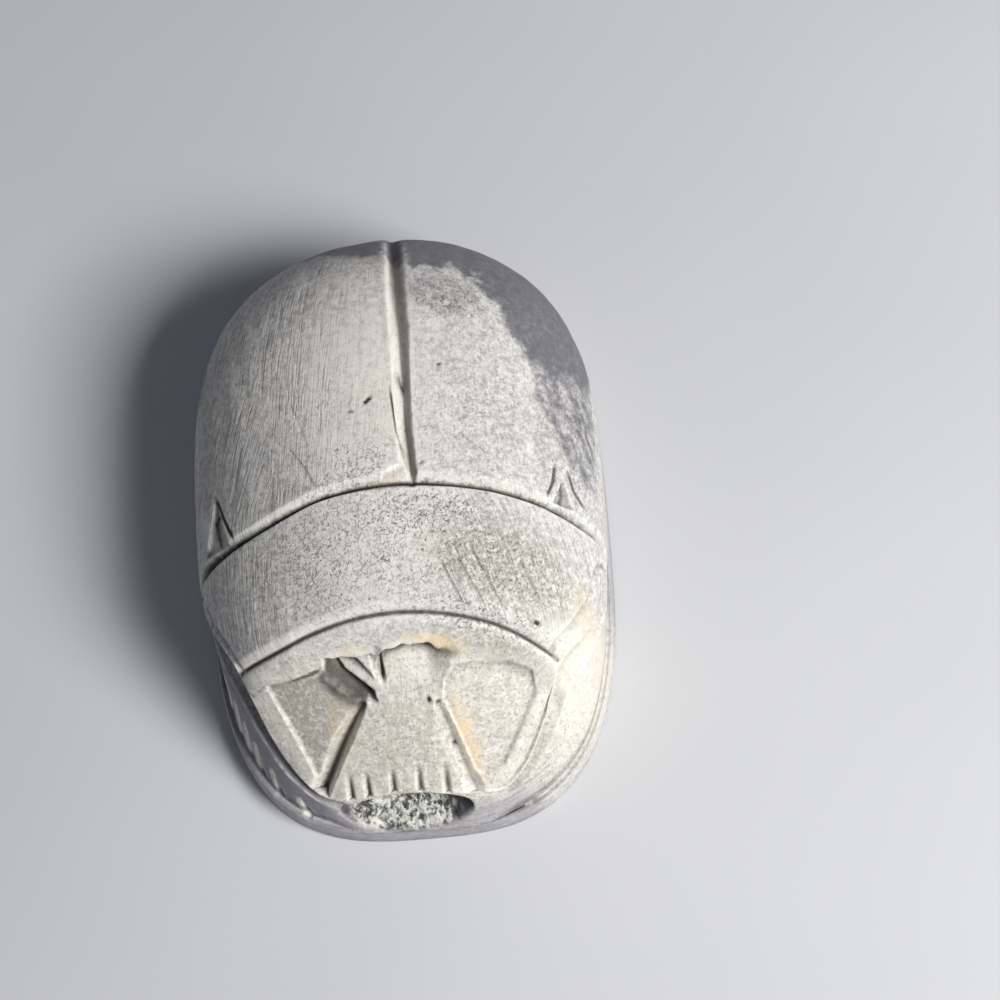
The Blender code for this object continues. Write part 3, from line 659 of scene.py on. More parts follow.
def angle_at(place, sign):
    """Column angle of a place along a side, given by Y."""
    y = place * LENGTH / PLAN_LENGTH
    across = (1 - abs(2 * y / LENGTH) ** PLINTH_SQUARENESS) ** (1 / PLINTH_SQUARENESS)
    return sign * math.atan2((0.5 * WIDTH - LEDGE) * across, -y)


def wall_relief(rings):
    """Depth of the carving on the wall: legs in relief, with cuts across them."""
    wall = rings[PLINTH_ROWS : PLINTH_ROWS + WALL_ROWS + 1]
    middle = wall[WALL_ROWS // 2]
    steps = np.linalg.norm(np.diff(middle, axis=0, append=middle[:1]), axis=1)
    place = np.concatenate(([0], np.cumsum(steps)[:-1]))
    angle = ring_angles()
    place = place - np.interp(0, angle, place)
    tall = np.linalg.norm(wall[-1] - wall[0], axis=1)
    share = np.linspace(0, 1, WALL_ROWS + 1)[:, None] * np.ones(COLUMNS)
    around = place[None, :] * np.ones((WALL_ROWS + 1, 1))
    up = share * tall
    y = wall[:, :, 1]

    def at_turn(turn):
        """Place along the wall's foot, and the wall's height, at a column angle."""
        return np.interp(turn, angle, place), np.interp(turn, angle, tall)

    legs = np.zeros(share.shape)
    for leg in (MIDDLE_LEG, HIND_LEG):
        for sign in (-1, 1):
            ends = [(at_turn(angle_at(py, sign)), rise) for py, rise in leg]
            points = [(foot, rise * height) for (foot, height), rise in ends]
            off, _ = along(points, around, up)
            legs = np.maximum(legs, np.sqrt(np.clip(1 - (2 * off / LEG_WIDTH) ** 2, 0, 1)))
    foreleg = smooth((FORELEG_ENDS_AT * LENGTH / PLAN_LENGTH - y) / FORELEG_END_LENGTH + 0.5)
    legs = np.maximum(legs, foreleg)
    window = smooth(share / WALL_RECESS_FADE) * smooth((1 - share) / WALL_RECESS_FADE)
    depth = WALL_RECESS * (1 - legs) * window

    from_middle = np.abs(wall[:, :, 0])
    mouth = smooth((from_middle - LEDGE_FADES_AT) / (LEDGE_FULL_AT - LEDGE_FADES_AT))
    swell = np.sin(math.pi * np.clip(share / FORELEG_TOP, 0, 1))
    depth = depth - FORELEG_SWELL * foreleg * mouth * swell
    overhang = smooth((from_middle - OVERHANG_FADES_AT) / (OVERHANG_FULL_AT - OVERHANG_FADES_AT))
    under_plate = smooth(1 - np.abs(share - PLATE_OVERHANG_AT) / PLATE_OVERHANG_SPAN)
    depth = depth + PLATE_OVERHANG * foreleg * overhang * under_plate

    facets = np.zeros(depth.shape)
    for places, sign in ((LEFT_LEG_CUTS, -1), (RIGHT_LEG_CUTS, 1)):
        for px, py in on_plan(places):
            foot, height = at_turn(math.atan2(px, -py))
            points = [(foot + sign * LEG_CUT_SLANT, LEG_CUT_TOP * height), (foot, LEG_CUT_FOOT * height)]
            deep = LEG_CUT_DEPTH["left" if sign < 0 else "right"]
            cut = deep * leaf(points, around, up, sign, LEG_CUT_FRONT)
            depth = np.maximum(depth, np.minimum(depth, 0) + cut)
            # Faces of the left leg cuts that face the light, for a painted highlight
            facets = np.maximum(facets, leaf(points, around, up, sign, 0.25, 1.7) * (sign < 0))
    for py in HIND_CUTS_AT:
        for sign in (-1, 1):
            foot, height = at_turn(angle_at(py, sign))
            top = (foot + sign * LEG_CUT_SLANT, HIND_CUT["top"] * height)
            points = [(foot, HIND_CUT["foot"] * height), top]
            depth = np.maximum(depth, HIND_CUT["depth"] * leaf(points, around, up, sign, LEG_CUT_REAR))
    return depth, ramp(facets, 0.22, 0.2)


def mouth_hollow(rings):
    """Share, from 0 to 1, of the hollow under the front edge at every place of the wall."""
    x, y, z = np.moveaxis(rings, 2, 0)
    centre = MOUTH_HOLLOW["centre"] * WIDTH / PLAN_WIDTH
    half = MOUTH_HOLLOW["half_width"] * WIDTH / PLAN_WIDTH
    roof = MOUTH_HEIGHT - MOUTH_HOLLOW_LIP - CHEEK_FALL * (2 * x / WIDTH) ** 2
    foot = MOUTH_HOLLOW["foot"]
    across = np.clip(1 - ((x - centre) / half) ** 2, 0, 1)
    middle = 0.5 * (roof + foot)
    low = middle - (middle - foot) * np.sqrt(across)
    high = middle + (roof - middle) * np.sqrt(across) ** 0.5
    border = np.minimum((z - low) / MOUTH_FLOOR_RISE, (high - z) / MOUTH_HOLLOW_WALL)
    border = np.where((across > 0) & (y < 0), border, -1)
    rows = np.arange(len(rings))[:, None]
    on_wall = (rows > PLINTH_ROWS) & (rows < PLINTH_ROWS + WALL_ROWS)
    return np.where(on_wall, smooth(border) * np.sqrt(across), 0)


def tapered(share, times):
    """1 along a line, falling to 0 over one part in so many at both ends."""
    return smooth(share * times) * smooth((1 - share) * times)


def fine_lines(x, y):
    """Depth and darkness of thin lines and scratches, dirt and painted shade in them, which fade at both
    ends.
    """
    depth = np.zeros(x.shape)
    lines_dirt_and_shade = np.zeros(x.shape)
    for points, width, deep, dark in FINE_LINES:
        off, share = near(points, x, y)
        ends = np.maximum(tapered(share, 8), 0.4 * (np.abs(off) < width))
        depth = np.maximum(depth, deep * ends * vee(off, 0.5 * width, 0.5 * width))
        lines_dirt_and_shade = np.maximum(lines_dirt_and_shade, dark * ends * smooth(1.6 - 2 * np.abs(off) / width))
    return depth, lines_dirt_and_shade


def chunks(x, y, z, size, seed):
    """Broken stone: flat facets of the given size, each at its own height and tilt, from -1 to 1."""
    cells = [np.floor(value / size).astype(np.int64) for value in (x, y, z)]
    nearest = np.full(x.shape, np.inf)
    height = np.zeros(x.shape)
    for step in range(27):
        ix, iy, iz = (cell + (step // 3**axis) % 3 - 1 for axis, cell in enumerate(cells))
        gaps = [
            value - (cell + 0.5 + 0.45 * corner_value(ix, iy, iz, seed + axis)) * size
            for axis, (value, cell) in enumerate(zip((x, y, z), (ix, iy, iz)))
        ]
        distance = gaps[0] ** 2 + gaps[1] ** 2 + gaps[2] ** 2
        tilt = [corner_value(ix, iy, iz, seed + 3 + axis) * gap / size for axis, gap in enumerate(gaps)]
        level = 0.6 * corner_value(ix, iy, iz, seed + 6) + 0.9 * (tilt[0] + tilt[1] + tilt[2])
        height = np.where(distance < nearest, level, height)
        nearest = np.minimum(nearest, distance)
    return height


def hand_finish(x, y, z, face):
    """Unevenness of stone worked by hand and file, in millimetres out of the surface."""
    lumps = 0.09 * noise(x, y, z, 7, 1) + 0.045 * noise(x, y, z, 2.6, 2)
    grain = 0.016 * noise(x, y, z, 0.7, 3)
    flats = 0.035 * noise(x + 0.12 * y, y, z, (1.1, 15, 9), 4)
    marks = 0.014 * noise(x - 0.05 * y, y, z, (0.42, 9, 6), 5)
    return lumps + grain + face * (flats + marks)


def patch(x, y, centre, reach, turn=0):
    """A soft oval patch: 1 in its middle, 0.5 on its border, 0 outside."""
    cos, sin = math.cos(math.radians(turn)), math.sin(math.radians(turn))
    dx, dy = x - centre[0], y - centre[1]
    off = np.hypot((dx * cos + dy * sin) / reach[0], (dy * cos - dx * sin) / reach[1])
    return smooth(1.5 - off)


def patches(name, x, y, join=np.add):
    """All patches of one name, joined where they overlap."""
    total = np.zeros(x.shape)
    for strength, middle, reach, turn in PATCHES[name]:
        total = join(total, strength * patch(x, y, middle, reach, turn))
    return total


def eased(field, times):
    """The values with each place averaged with its neighbours on the rings, so many times over."""
    for _ in range(times):
        field = 0.5 * field + 0.25 * (np.roll(field, 1, axis=1) + np.roll(field, -1, axis=1))
        middle = 0.5 * field[1:-1] + 0.25 * (field[:-2] + field[2:])
        field = np.vstack((field[:1], middle, field[-1:]))
    return field


def carve():
    """Places of all rings with the carving sunk into them, and the masks that colour the stone, painted light
    and shade among them.
    """
    rings = uncarved_rings()
    normal = outward(rings)
    x, y, z = np.moveaxis(rings, 2, 0)
    rows = np.arange(len(rings))[:, None]
    wall_top = PLINTH_ROWS + WALL_ROWS
    on_top = rows >= wall_top

    depth = np.zeros(x.shape)
    facets = np.zeros(x.shape)
    depth[PLINTH_ROWS : wall_top + 1], facets[PLINTH_ROWS : wall_top + 1] = wall_relief(rings)
    tx, ty, tz = x[wall_top:], y[wall_top:], z[wall_top:]
    cuts = np.maximum(line_cuts(tx, ty, tz), wing_marks(tx, ty))
    cuts = np.maximum(cuts, head_cuts(tx, ty))
    lip = LIP_HEIGHT * smooth(1 - np.abs(ty - front_edge()) / LIP_WIDTH)
    lines, lines_dirt_and_shade = fine_lines(tx, ty)
    depth[wall_top:] = np.maximum(cuts, lines) - lip * ramp(tx, -1, 2)
    depth = eased(depth, 1)

    off_underside = ramp(z, 0.2, 1)
    finish = hand_finish(x, y, z, np.where(on_top, 1, 0.3)) * off_underside
    hollow = mouth_hollow(rings)
    inward = y + hollow * MOUTH_HOLLOW_DEPTH
    broken = 0.6 * chunks(x, inward, z, 1.1, 11) + 0.35 * chunks(x, inward, z, 0.5, 31)
    carved = rings + normal * (finish - depth)[:, :, None]
    carved[:, :, 1] += hollow * (MOUTH_HOLLOW_DEPTH + broken)
    carved[:, :, 2] += 0.3 * broken * smooth(4 * hollow * (1 - hollow))

    sunk = depth - eased(depth, 14)
    lines_dirt_and_shade = np.vstack((np.zeros((wall_top, COLUMNS)), lines_dirt_and_shade))
    lines_dirt_and_shade = np.maximum(lines_dirt_and_shade, np.where(on_top, back_line_shade_and_dirt(x, y, z), leg_groove_shade(x, y, z)))
    # Painted shade in the suture and in the cuts of the brow and left cheek
    dark = np.where(on_top, groove_shade_mask(x, y), 0)
    front_wall = smooth((12 - np.abs(x - 2)) / 3) * ramp(z, 6.2, -0.8) * (y < 0)
    up = np.clip((rows - PLINTH_ROWS) / WALL_ROWS, 0, 1)
    # Painted shade on the left foreleg, which lies on the shaded side
    left_leg_shade = ramp(x, -7.5, -2.5) * ramp(y, -8, -3) * ramp(up, 0.02, 0.05)
    left_leg_shade = left_leg_shade * (0.88 - 0.2 * ramp(up, 0.6, 0.15)) * (1 - facets)
    # Painted shade and dirt: darker in the bottoms of cuts and in the mouth hollow
    cavity = np.clip(sunk / 0.2, 0, 1) + 0.6 * smooth(hollow)
    cavity = cavity * (1 - 0.65 * patch(x, y, (-16.8, -2.6), (1.3, 3.2), 14))
    masks = {
        "around": np.arctan2(x, z + ROUNDING_CENTRE) * (HEIGHT + ROUNDING_CENTRE),
        "lines_dirt_and_shade": lines_dirt_and_shade,
        "cavity": cavity * (1 - 0.8 * facets),
        "worn": np.clip(-sunk / 0.12, 0, 1) * (1 - dark),
        "hollow": smooth(hollow * 6),
        # Painted shade at the ends of the mouth hollow and under its roof
        "hollow_end_shade": ramp(x, 2.2, 1.2) + ramp(x, -6.2, -1.2) + 0.8 * ramp(z, 6.6, 0.6),
        # On the walls, a painted highlight on the lit faces of the left leg cuts
        "pale": np.where(on_top | (x > 9), lit_and_rubbed_mask(x, y, z), facets),
        "dark": dark,
        "crackle": crackle_mask(x, y, z),
        "filed_wall": np.where(on_top, 0, 0.8 * front_wall),
        # On the walls, painted shade on the left foreleg, and a little darker behind the middle
        "stain_and_shade": np.where(on_top, stain_and_shade_mask(x, y, z), np.maximum(left_leg_shade, 0.25 * ramp(y, -2, 4))),
        "shade": shade_mask(x, y),
        "rubble_light_and_shade": np.clip(0.5 + 0.7 * broken, 0, 1),
        "dust": dust_mask(x, y),
        "warm": warm_mask(x, y, z),
        "orange": orange_mask(x, y),
        # Painted blue reflection and painted shade, held off the lit faces of the leg cuts
        "cool_reflection_and_shade": cool_reflection_and_shade_mask(x, y, z) * (1 - 0.9 * facets),
    }
    masks["filed"] = np.where(on_top[:, :, None], filed_mask(x, y), 0)
    return carved, masks


def beside(points, x, y, off, reach):
    """1 along a line drawn at a distance to the left of another, falling to 0 at its reach."""
    across, share = near(points, x, y)
    return smooth(1.3 - np.abs(across - off) / reach) * tapered(share, 12)


def back_line_shade_and_dirt(x, y, z):
    """Painted shade and dark dirt in the bottoms of the two lines across the back, with painted shade beside
    the brow's channel and under the brow's edge.
    """
    wide = 0.17 + 0.4 * ramp(x, -12, -6)
    wing = smooth(1.5 - np.abs(wing_line_off(x, y, z) - 0.4 * wide) / wide)
    neck = 0.85 * smooth(1.5 - np.abs(neck_line_off(x, y)) / 0.12)
    in_body = ramp(near(HEAD_OUTLINE, x, y)[0], 0.3, 0.4)
    channel = 0.75 * beside(BROW_CHANNEL_PLACE, x, y, -0.75, 0.85)
    brow = 0.8 * beside(BROW_HOLLOW[1:4], x, y, -0.3, 0.28) * ramp(x, 4, -2)
    return np.maximum(np.maximum(wing, neck * in_body), np.maximum(channel, brow))


def leg_groove_shade(x, y, z):
    """Painted shade in the groove where the forelegs meet the plinth."""
    foot = smooth(1.4 - np.abs(z - PLINTH_HEIGHT - 0.1) / 0.3)
    return 0.5 * foot * ramp(y, 6, -8) * ramp(np.abs(x), 6, 3)


def lit_and_rubbed_mask(x, y, z):
    """Pale stone, partly painted highlight and partly worn pale by rubbing: bevels, ridges, the strips beside
    the plates and the brow's floor, the lit left wall of the suture, the lit right foreleg and the middle of
    the back.
    """
    wing = smooth(1.2 - np.abs(wing_line_off(x, y, z) - 0.55) / 0.5) * ramp(np.abs(x), 17.5, -2)
    neck = smooth(1.2 - np.abs(neck_line_off(x, y) - 0.55) / 0.45) * (0.55 - 0.03 * x)
    strip = beside(LEFT_PLATE[:4], x, y, -0.62, 0.5)
    frame = 0.7 * beside(RIGHT_PLATE[2:7], x, y, 0.6, 0.45)
    suture = 0.9 * beside(SUTURE_PLACE, x, y, -0.5, 0.4) * ramp(y, 24, -12)
    lip = smooth(1.2 - np.abs(y - front_edge()) / LIP_WIDTH) * ramp(x, -1, 2)
    # Painted highlight on the lit right foreleg and on the middle of the back
    slab = ramp(x, 12, 2) * ramp(y, -12, -3) * (0.9 - 0.6 * ramp(y, -20, -3))
    middle = 0.9 * patch(x, y, (-1.5, 1), (6.5, 17)) * ramp(y, -15, 4)
    lines = wing + np.clip(neck, 0, 1) + strip + frame + suture + lip
    return np.clip(lines + slab + middle + patches("pale", x, y), 0, 1)


def groove_shade_mask(x, y):
    """Painted shade on the right wall of the suture, in the channel and cleft of the brow, under the brow's
    edge and in the left cheek cut.
    """
    across, share = near(SUTURE_PLACE, x, y)
    wall = between(SUTURE_RIGHT_WALL, share)
    suture = smooth(1 - np.abs(across - 0.45 * wall) / (0.75 * wall))
    channel = beside(BROW_CHANNEL_PLACE, x, y, -0.85, 1.1)
    cleft = beside(BROW_CLEFT_PLACE, x, y, 0, 0.45)
    brow = 0.9 * smooth(1 - np.abs(near(BROW_HOLLOW[1:4], x, y)[0] + 0.3) / 0.5)
    cheek = beside(LEFT_CHEEK_PLACE, x, y, 0, 0.4)
    return np.clip(0.9 * suture + 0.8 * channel + 0.9 * cleft + brow + 0.5 * cheek, 0, 1)


def crackle_mask(x, y, z):
    """Where the fine network of dark cracks shows."""
    on_face = ramp(neck_line_off(x, y), -0.2, 0.5)
    total = 0.06 + patches("crackle", x, y, np.maximum)
    return np.clip(total, 0, 1) * smooth(z / 8) * (0.1 + 0.9 * on_face)


def stain_and_shade_mask(x, y, z):
    """Grey staining on the rear and outer part of the right wing case, with painted shade along the rear edge
    and at the rear left; the far right edge is kept out of it as a painted highlight.
    """
    border = [(-8, 25), (0, 22.6), (2.3, 21.8), (6.8, 20.8), (9.1, 19.4), (11.1, 16.4), (12.4, 13.2),
              (14, 10.3), (14.1, 7.2), (15.1, 2.8), (17.6, -2)]
    band = near(border, x, y)[0]
    rough = 0.5 * noise(x, y, z, 1.8, 21) + 0.35 * noise(x, y, z, 0.7, 22)
    rough = rough * (1 + 1.6 * patch(x, y, (6, 20), (5, 2.6), -14))
    streaks = noise(x + 0.3 * y, y, z, (0.4, 2.4, 2), 23)
    low = ramp(y, 11.5, -3)
    stain_and_shade = smooth((band + 0.9 * rough) / 2.4 + 0.5) * (1 - 0.4 * low * smooth(0.5 + 1.1 * streaks))
    stain_and_shade = stain_and_shade * (1 - 0.28 * low) * ramp(y, -4, 5)
    # Painted shade along the rear left edge
    rear_left_shade = smooth((0.2 - back_plan(x, y)) / 0.15) * ramp(y, 6, 8) * ramp(x, 0, -4)
    stain_and_shade = np.maximum(stain_and_shade, np.maximum(0.45 * patches("blotches", x, y), 0.6 * rear_left_shade))
    lit_right_edge = ramp(np.abs(x), 18.9, 0.6) * ramp(y, 16, -3)
    return np.clip(stain_and_shade, 0, 1) * (1 - 0.8 * lit_right_edge * (x > 0))


def shade_mask(x, y):
    """Painted shade in warm grey: the left plate, which faces away from the light, the right of the thorax
    and parts of the head.
    """
    plate = 0.75 * smooth(inside(LEFT_PLATE, x, y) / 0.8 + 0.5)
    brow = 0.4 * patch(x, y, (7, -15.2), (4.5, 0.9), -16)
    head = patches("head shade", x, y, np.maximum) + brow
    return np.maximum(np.maximum(plate, patches("shade", x, y)), head)


def dust_mask(x, y):
    """Dark specks along the neck line and in the thorax."""
    head = 0.3 * ramp(y, -14.5, -1)
    return np.clip(0.08 + head + patches("dust", x, y), 0, 1)


def warm_mask(x, y, z):
    """Cream tint of the head, the suture's edge and the right foreleg."""
    head = 0.8 * ramp(y, -13.8, -2.5) * smooth(z / 6)
    right = 0.55 * patch(x, y, (16.5, -19), (4, 9), 20)
    suture = 0.8 * beside(SUTURE_PLACE, x, y, -0.6, 0.5)
    line = 0.6 * smooth(1.2 - np.abs(wing_line_off(x, y, z) - 0.5) / 0.5)
    middle = 0.35 * patch(x, y, (-3, 6), (4, 6))
    return np.clip(np.maximum(np.maximum(head, right), np.maximum(suture, line)) + middle, 0, 1)


def orange_mask(x, y):
    """Orange-cream stains on the brow ledge and beside the right cheek cut."""
    return np.clip(patches("orange", x, y), 0, 1)


def cool_reflection_and_shade_mask(x, y, z):
    """Purple-grey tint low on the sides and on the front wall, partly a tint of the stone and partly painted
    reflection of a blue ground, with painted shade at the rear and on the shaded left wall, less on the lit
    right.
    """
    low = ramp(z, 7.5, -5) + 0.7 * ramp(z, 3.2, -0.8)
    front = ramp(y, -24, -3) * ramp(z, 7, -2)
    rear = 0.5 * ramp(y, 20, 6)
    left = ramp(x, -10, -3) * ramp(z, 10, -2) * ramp(y, -8, -4)
    right = ramp(x, 9, 3) * ramp(y, -8, -4)
    return np.clip((0.8 * low + 0.5 * front + rear) * (1 - 0.8 * right) + left, 0, 1)


def filed_mask(x, y):
    """How strongly each set of file marks shows: straight ones, and ones leaning left and right."""
    left = ramp(x, -1, -8)
    far_left = ramp(x, -9, -4)
    wings = ramp(y, -2.5, 1.5)
    on_head = ramp(y, -13.5, -2)
    low_left = far_left * ramp(y, 14, -8) * wings
    straight = wings * (0.2 + 0.65 * left) * (1 - low_left) + (1 - wings) * (0.1 + 0.9 * far_left)
    straight = straight * (1 - on_head) + 0.2 * on_head
    leaning_right = wings * 0.3 * ramp(x, 4, 3) + (1 - wings) * 0.6 * ramp(x, 2.5, 2.5)
    leaning_right = leaning_right * (1 - on_head)
    return np.stack((straight, low_left, leaning_right), axis=2)


def closed_mesh(rings):
    """A mesh through all rings, closed by a fan of faces around the first and the last."""
    inner = rings[1:-1].reshape(-1, 3)
    places = np.vstack((rings[:1, 0], inner, rings[-1:, 0]))
    column = np.arange(COLUMNS)
    following = (column + 1) % COLUMNS
    first = 1 + np.arange(len(rings) - 3)[:, None] * COLUMNS
    corners = (first + column, first + following, first + COLUMNS + following, first + COLUMNS + column)
    walls = np.stack(corners, axis=-1).reshape(-1, 4)
    below = np.column_stack((np.zeros_like(column), 1 + following, 1 + column))
    last = len(places) - 1
    above = np.column_stack((np.full_like(column, last), last - COLUMNS + column, last - COLUMNS + following))
    mesh = bpy.data.meshes.new("scarab_stone")
    mesh.from_pydata(places * MM, [], walls.tolist() + below.tolist() + above.tolist())
    return mesh


def stone_piece():
    """The finely carved scarab, as one closed mesh with its masks."""
    carved, masks = carve()
    mesh = closed_mesh(carved)
    for name, values in masks.items():
        flat = values.reshape(len(carved), COLUMNS, -1)
        points = np.vstack((flat[:1, 0], flat[1:-1].reshape(-1, flat.shape[2]), flat[-1:, 0]))
        kind, key = ("FLOAT_VECTOR", "vector") if flat.shape[2] == 3 else ("FLOAT", "value")
        attribute = mesh.attributes.new(name, kind, "POINT")
        attribute.data.foreach_set(key, points.astype(np.float32).ravel())
    mesh.update()

    piece = bpy.data.objects.new("scarab_stone", mesh)
    bpy.context.scene.collection.objects.link(piece)
    thin = piece.modifiers.new("fewer faces", "DECIMATE")
    thin.ratio = FACES_KEPT / (2 * len(mesh.vertices))
    final = bpy.data.meshes.new_from_object(piece.evaluated_get(bpy.context.evaluated_depsgraph_get()))
    piece.modifiers.clear()
    piece.data = final
    final.shade_smooth()
    for vert in final.vertices:
        if vert.co.z < 0.05 * FOOT_BEVEL * MM:
            vert.co.z = 0
    return piece


class Nodes:
    """Short calls for the nodes of one material."""

    def __init__(self, material):
        self.tree = material.node_tree
        self.shader = self.tree.nodes["Principled BSDF"]

    def add(self, kind, inputs, **settings):
        """A new node with the given settings, and values or links in its inputs."""
        node = self.tree.nodes.new(kind)
        for name, value in settings.items():
            setattr(node, name, value)
        for name, value in inputs.items():
            self.link(value, node.inputs[name])
        return node

    def link(self, source, target):
        if isinstance(source, (int, float, tuple)):
            target.default_value = source
        else:
            self.tree.links.new(source, target)

    def math(self, operation, a, b):
        return self.add("ShaderNodeMath", {0: a, 1: b}, operation=operation).outputs[0]

    def times(self, a, b):
        return self.math("MULTIPLY", a, b)

    def mask(self, name, output="Fac"):
        return self.add("ShaderNodeAttribute", {}, attribute_name=name).outputs[output]

    def body(self):
        """Place on the object, in millimetres."""
        return self.place(self.add("ShaderNodeTexCoord", {}).outputs["Object"], (1 / MM,) * 3)

    def place(self, vector, scale):
        return self.add("ShaderNodeVectorMath", {0: vector, 1: scale}, operation="MULTIPLY").outputs[0]

    def toward(self, body, direction):
        node = self.add("ShaderNodeVectorMath", {0: body, 1: direction}, operation="DOT_PRODUCT")
        return node.outputs["Value"]

    def parts(self, vector):
        return self.add("ShaderNodeSeparateXYZ", {0: vector}).outputs

    def leaning(self, body, lean):
        """A place across and along file marks that lean by a share of their length."""
        across = self.math("ADD", self.mask("around"), self.toward(body, (0, -lean, 0)))
        return self.stretched(across, body)

    def level(self, body):
        """A place across and along level file marks on a wall."""
        return self.stretched(self.toward(body, (0.05, 0.05, 1.3)), body)

    def stretched(self, across, body):
        forward = self.parts(self.place(body, (0.035, 0.05, 0.02)))
        return self.add("ShaderNodeCombineXYZ", {0: across, 1: forward[1], 2: forward[0]}).outputs[0]

    def noise(self, vector, size, detail=2, roughness=0.5, output="Fac"):
        settings = {"Vector": vector, "Scale": 1 / size, "Detail": detail, "Roughness": roughness}
        return self.add("ShaderNodeTexNoise", settings).outputs[output]

    def span(self, value, low, high, to_low=0, to_high=1):
        ends = {"From Min": low, "From Max": high, "To Min": to_low, "To Max": to_high}
        node = self.add("ShaderNodeMapRange", {"Value": value, **ends}, interpolation_type="SMOOTHSTEP")
        return node.outputs["Result"]

    def mix(self, share, a, b):
        return self.add("ShaderNodeMix", {"Factor": share, 6: a, 7: b}, data_type="RGBA").outputs[2]

    def cracks(self, vector, size, width):
        settings = {"Vector": vector, "Scale": 1 / size}
        node = self.add("ShaderNodeTexVoronoi", settings, feature="DISTANCE_TO_EDGE")
        return self.span(node.outputs["Distance"], 0, width / size, 1, 0)


def stone_material():
    """Old pale stone: mottled cream and grey, filed, crackled, stained and worn at its edges, with painted
    highlights, painted shade and painted reflection in its colour.
    """
    material = bpy.data.materials.new("old pale stone")
    material.use_nodes = True
    n = Nodes(material)
    body = n.body()

    # Colour of the stone itself, with painted highlights and painted shade laid on it
    broad = n.noise(body, 7, 3, 0.6)
    fine = n.noise(body, 1.3, 4, 0.65)
    tiny = n.noise(body, 0.2, 3, 0.7)
    veins = n.noise(n.place(body, (1, 0.6, 1)), 0.9, 5, 0.75)
    colour = n.mix(n.span(broad, 0.35, 0.65), (0.60, 0.585, 0.585, 1), (0.70, 0.675, 0.625, 1))
    colour = n.mix(n.span(fine, 0.3, 0.7, 0, 0.45), colour, (0.79, 0.775, 0.745, 1))
    colour = n.mix(n.span(veins, 0.42, 0.3, 0, 0.6), colour, (0.33, 0.32, 0.31, 1))
    colour = n.mix(n.span(tiny, 0.42, 0.68, 0, 0.6), colour, (0.40, 0.385, 0.37, 1))
    mottle = n.noise(body, 0.6, 5, 0.8)
    colour = n.mix(n.span(mottle, 0.5, 0.61, 0, 0.65), colour, (0.34, 0.33, 0.315, 1))
    warm = n.times(n.mask("warm"), n.span(fine, 0.25, 0.7, 0.4, 0.9))
    colour = n.mix(warm, colour, (0.67, 0.63, 0.52, 1))
    # Painted highlight on faces turned to the light, mixed with stone worn pale
    lit_and_rubbed = n.times(n.mask("pale"), n.span(n.noise(body, 0.7, 4, 0.65), 0.3, 0.55, 0.35, 1))
    colour = n.mix(n.times(lit_and_rubbed, 0.8), colour, (0.84, 0.82, 0.76, 1))

    # Painted shade in warm grey on the left plate, the thorax's right and the head
    painted_shade = n.times(n.mask("shade"), n.span(n.noise(body, 0.5, 5, 0.75), 0.3, 0.6, 0.35, 1))
    colour = n.mix(painted_shade, colour, (0.40, 0.375, 0.32, 1))
    mottle = n.times(n.span(mottle, 0.5, 0.4), n.span(n.mask("pale"), 0, 1, 0.6, 0.3))
    colour = n.mix(mottle, colour, (0.88, 0.87, 0.84, 1))

    # File marks: three straight sets on the back and head, and a level one on the walls
    filed = n.parts(n.mask("filed", "Vector"))
    marks = [(n.leaning(body, lean), strength) for lean, strength in zip((0.12, 0.42, -0.42), filed)]
    marks.append((n.level(body), n.mask("filed_wall")))
    dark_marks, pale_marks, deep_marks, mark_height = 0, 0, 0, 0
    for place, strength in marks:
        streaks = n.noise(place, 0.15, 2, 0.5)
        long_streaks = n.noise(n.place(place, (0.4, 0.6, 1)), 0.15, 2, 0.5)
        dark_marks = n.math("MAXIMUM", dark_marks, n.times(n.span(streaks, 0.52, 0.66), strength))
        pale_marks = n.math("MAXIMUM", pale_marks, n.times(n.span(streaks, 0.47, 0.34), strength))
        deep = n.times(n.span(long_streaks, 0.6, 0.7), strength)
        deep_marks = n.math("MAXIMUM", deep_marks, deep)
        mark_height = n.math("ADD", mark_height, n.times(streaks, strength))
    colour = n.mix(n.times(dark_marks, 0.6), colour, (0.27, 0.255, 0.24, 1))
    colour = n.mix(n.times(pale_marks, 0.55), colour, (0.85, 0.83, 0.79, 1))
    colour = n.mix(n.times(deep_marks, 0.5), colour, (0.20, 0.185, 0.175, 1))

    # Crackle: a broken network, in places only spots where its lines meet
    bend = {0: n.noise(body, CRACK_BEND_SIZE, 3, output="Color"), 1: (0.4, 0.4, 0.4), 2: body}
    bent = n.add("ShaderNodeVectorMath", bend, operation="MULTIPLY_ADD").outputs[0]
    cells = n.cracks(bent, 0.72, 0.1)
    small_cells = n.cracks(bent, 0.4, 0.07)
    kept = n.span(n.noise(body, 0.32, 2), 0.34, 0.62)
    areas = n.span(n.noise(body, 3, 3, 0.6), 0.3, 0.55, 0.35, 1)
    cracks = n.math("MAXIMUM", n.times(cells, 0.7), n.times(small_cells, 0.3))
    cracks = n.times(n.times(cracks, kept), areas)
    spots = n.span(n.noise(body, 0.36, 1), 0.67, 0.74)
    cracks = n.math("MAXIMUM", cracks, n.times(spots, 0.9))
    cracks = n.times(cracks, n.mask("crackle"))
    colour = n.mix(n.times(cracks, 0.85), colour, (0.11, 0.11, 0.115, 1))

    # Specks, stains and dirt, with painted shade, painted reflection and painted light
    specks = n.span(n.noise(body, 0.3, 3, 0.7), 0.55, 0.66)
    specks = n.times(specks, n.mask("dust"))
    colour = n.mix(n.times(specks, 0.85), colour, (0.075, 0.075, 0.08, 1))
